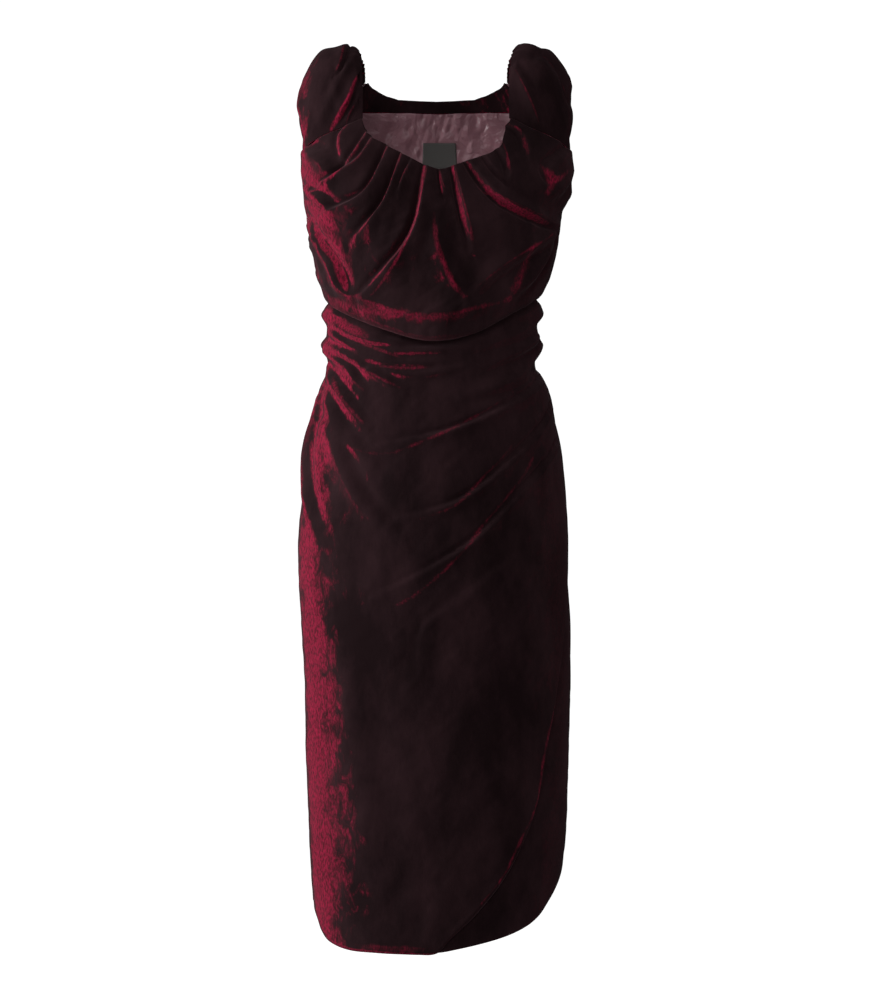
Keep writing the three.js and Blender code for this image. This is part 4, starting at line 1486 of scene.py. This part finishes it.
@dataclass(frozen=True)
class Studio:
    """Pale backdrop, soft light mostly from the viewer's left, and the photo's camera, in metres.

    Attributes:
        centre: Point that the camera and lamps face.
        distance: Distance of the camera.
        seen_height: Height seen at the centre.
        sensor: Sensor width in mm.
        far: Farthest place that the camera sees.
        ambient: Strength of the world's light.
        floor: Height of the floor.
        nearest: Front end of the floor.
        bend_start: Place where it starts to bend.
        bend: Radius of the bend.
        wall_top: Top of the wall.
        half_wide: Half of its width.
        bend_steps: Steps round the bend.
        grey: Colour of the backdrop in its light on the dress.
        lamps: Area lights.
    """

    centre: tuple = (0.00845, 0.0, -0.574)
    distance: float = 3.6
    seen_height: float = 1.3
    sensor: float = 36.0
    far: float = 60.0
    ambient: float = 0.05
    floor: float = -1.32
    nearest: float = -9.0
    bend_start: float = 3.5
    bend: float = 1.5
    wall_top: float = 6.0
    half_wide: float = 12.0
    bend_steps: int = 12
    grey: float = 0.25
    lamps: tuple[Lamp, ...] = (
        Lamp("key", (-2.4, -0.5, -0.3), (1.2, 2.6), 85.0),
        Lamp("low", (-1.0, -1.9, -2.0), (1.2, 1.0), 22.0),
        Lamp("fill", (-0.8, -3.4, 1.0), (2.4, 2.4), 34.0),
        Lamp("top", (-0.4, -0.6, 2.2), (1.6, 1.6), 8.0),
        Lamp("right", (2.6, -2.2, 0.2), (1.6, 2.4), 22.0),
    )

    def build(self) -> None:
        """Makes the backdrop, lamps, world and camera."""
        self.backdrop()
        for lamp in self.lamps:
            self.light(lamp)
        world = bpy.data.worlds.new("studio")
        world.use_nodes = True
        set_inputs(world.node_tree.nodes["Background"], {"Color": WHITE, "Strength": self.ambient})
        bpy.context.scene.world = world
        bpy.context.scene.view_settings.view_transform = "Standard"
        data = bpy.data.cameras.new("camera")
        data.sensor_width = self.sensor
        data.lens = self.sensor * self.distance / self.seen_height
        data.clip_end = self.far
        camera = bpy.data.objects.new("camera", data)
        camera.location = Vector(self.centre) + Vector((0, -self.distance, 0))
        camera.rotation_euler = (math.radians(SIDE), 0, 0)
        bpy.context.scene.collection.objects.link(camera)
        bpy.context.scene.camera = camera

    def light(self, lamp: Lamp) -> None:
        """Adds one area light.

        Args:
            lamp: Light to add.
        """
        data = bpy.data.lights.new(lamp.name, "AREA")
        data.shape = "RECTANGLE"
        data.size, data.size_y = lamp.size
        data.energy = lamp.power
        piece = bpy.data.objects.new(lamp.name, data)
        piece.location = lamp.place
        piece.rotation_mode = "QUATERNION"
        piece.rotation_quaternion = (Vector(lamp.place) - Vector(self.centre)).to_track_quat("Z", "Y")
        bpy.context.scene.collection.objects.link(piece)

    def backdrop(self) -> None:
        """Floor that curves up into a wall: a swept profile, white to the camera, pale grey to the light."""
        turn = np.linspace(0, math.pi / 2, self.bend_steps + 1)
        wall = self.bend_start + self.bend
        y = np.concatenate([[self.nearest], self.bend_start + self.bend * np.sin(turn), [wall]])
        z = np.concatenate([[self.floor], self.floor + self.bend * (1 - np.cos(turn)), [self.wall_top]])
        x = np.array([-self.half_wide, self.half_wide])
        grid = np.stack(np.broadcast_arrays(x[None, :], y[:, None], z[:, None]), -1).reshape(-1, 3)
        faces = np.arange(len(y) - 1)[:, None] * 2 + np.array([0, 1, 3, 2])
        mesh = bpy.data.meshes.new("backdrop")
        mesh.from_pydata(grid.tolist(), [], faces.tolist())
        material, tree, shader = new_material("backdrop_white")
        set_inputs(shader, {"Base Color": (*[self.grey] * 3, 1), "Roughness": 0.9, "Emission Color": WHITE})
        join(tree, ((add_node(tree, "LightPath"), "Is Camera Ray", shader, "Emission Strength"),))
        mesh.materials.append(material)
        piece = bpy.data.objects.new("backdrop", mesh)
        bpy.context.scene.collection.objects.link(piece)


def main() -> None:
    """Builds the pieces in order, then the studio, and reports each."""
    logging.basicConfig(level=logging.INFO, format="%(message)s")
    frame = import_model()
    for node in frame["nodes"].values():
        node.hide_render = True
        node.hide_viewport = True
    velvet = VelvetFinish().build()
    # Velvet copy for the caps with less painted highlight: it starts at a steeper turn, and its sheen is
    # weaker too.
    cap_velvet = VelvetFinish(name="cap_velvet", turn_low=0.42, turn_high=0.7, haze=0.05).build()
    satin = SatinFinish().build()
    woven = WovenFinish().build()
    Bodice(
        cloth=Cloth("bodice_front", "velvet", (0.47, 0.3), Held.DRAPED, ("bodice_back", "shoulder_left")),
        start=-SIDE, top=FRONT_TOP, seam=BLOUSE_SEAM, full=BLOUSE.front, ripples=FINE, cells=(300, 146, 16),
    ).build((velvet, satin))
    Bodice(
        cloth=Cloth("bodice_back", "velvet", (0.46, 0.27), Held.DRAPED, ("bodice_front", "shoulder_left")),
        start=SIDE, top=BACK_TOP, seam=BACK_SEAM, full=BLOUSE.side, ripples=FINE, cells=(220, 120, 12),
    ).build((velvet, satin))
    for side, name, folds, strokes in (
        (-1, "shoulder_left", SHOULDER_FOLDS_LEFT, CAP_PAINTED_LIGHT_LEFT),
        (1, "shoulder_right", SHOULDER_FOLDS_RIGHT, CAP_PAINTED_LIGHT_RIGHT),
    ):
        Shoulder(
            cloth=Cloth(name, "velvet", (0.2, 0.22), Held.GATHERED, ("bodice_front", "bodice_back")),
            side=side, folds=folds, strokes=strokes,
        ).build((cap_velvet, cap_velvet))
    Skirt(
        cloth=Cloth("skirt_front", "velvet", (0.48, 0.84), Held.DRAPED, ("bodice_front", "skirt_back")),
        angles=(-SIDE, SIDE), under=False, ripples=CALM, cells=(190, 250),
    ).build((velvet, satin))
    Skirt(
        cloth=Cloth("skirt_back", "velvet", (0.66, 0.84), Held.HUNG, ("bodice_back",)),
        angles=(-15.0, 3 * SIDE), under=True, ripples=CALM, cells=(200, 170),
    ).build((velvet, satin))
    NeckLayer(
        cloth=Cloth("neck_band", "velvet", (0.29, 0.019), Held.GATHERED, ("bodice_back",)),
        angles=NECK_ANGLES, depth=3.0, thick=1.2, gathers=0.9, cells=(300, 12),
    ).build((velvet, velvet))
    NeckLayer(
        cloth=Cloth("back_lining", "satin_lining", (0.3, 0.15), Held.DRAPED, ("bodice_back",)),
        angles=NECK_ANGLES, top=BAND_LEVEL, bottom=-205.0, depth=6.0, thick=0.5, ripples=CRINKLE,
        cells=(180, 90),
    ).build((satin, satin))
    NeckLayer(
        cloth=Cloth("label", "woven_label", (0.044, 0.036), Held.STRETCHED, ("back_lining",)),
        angles=(161.8, 192.3), top=-100.0, bottom=-136.0, depth=9.4, thick=0.7, cells=(24, 20),
    ).build((woven, woven))
    Studio().build()


if __name__ == "__main__":
    main()
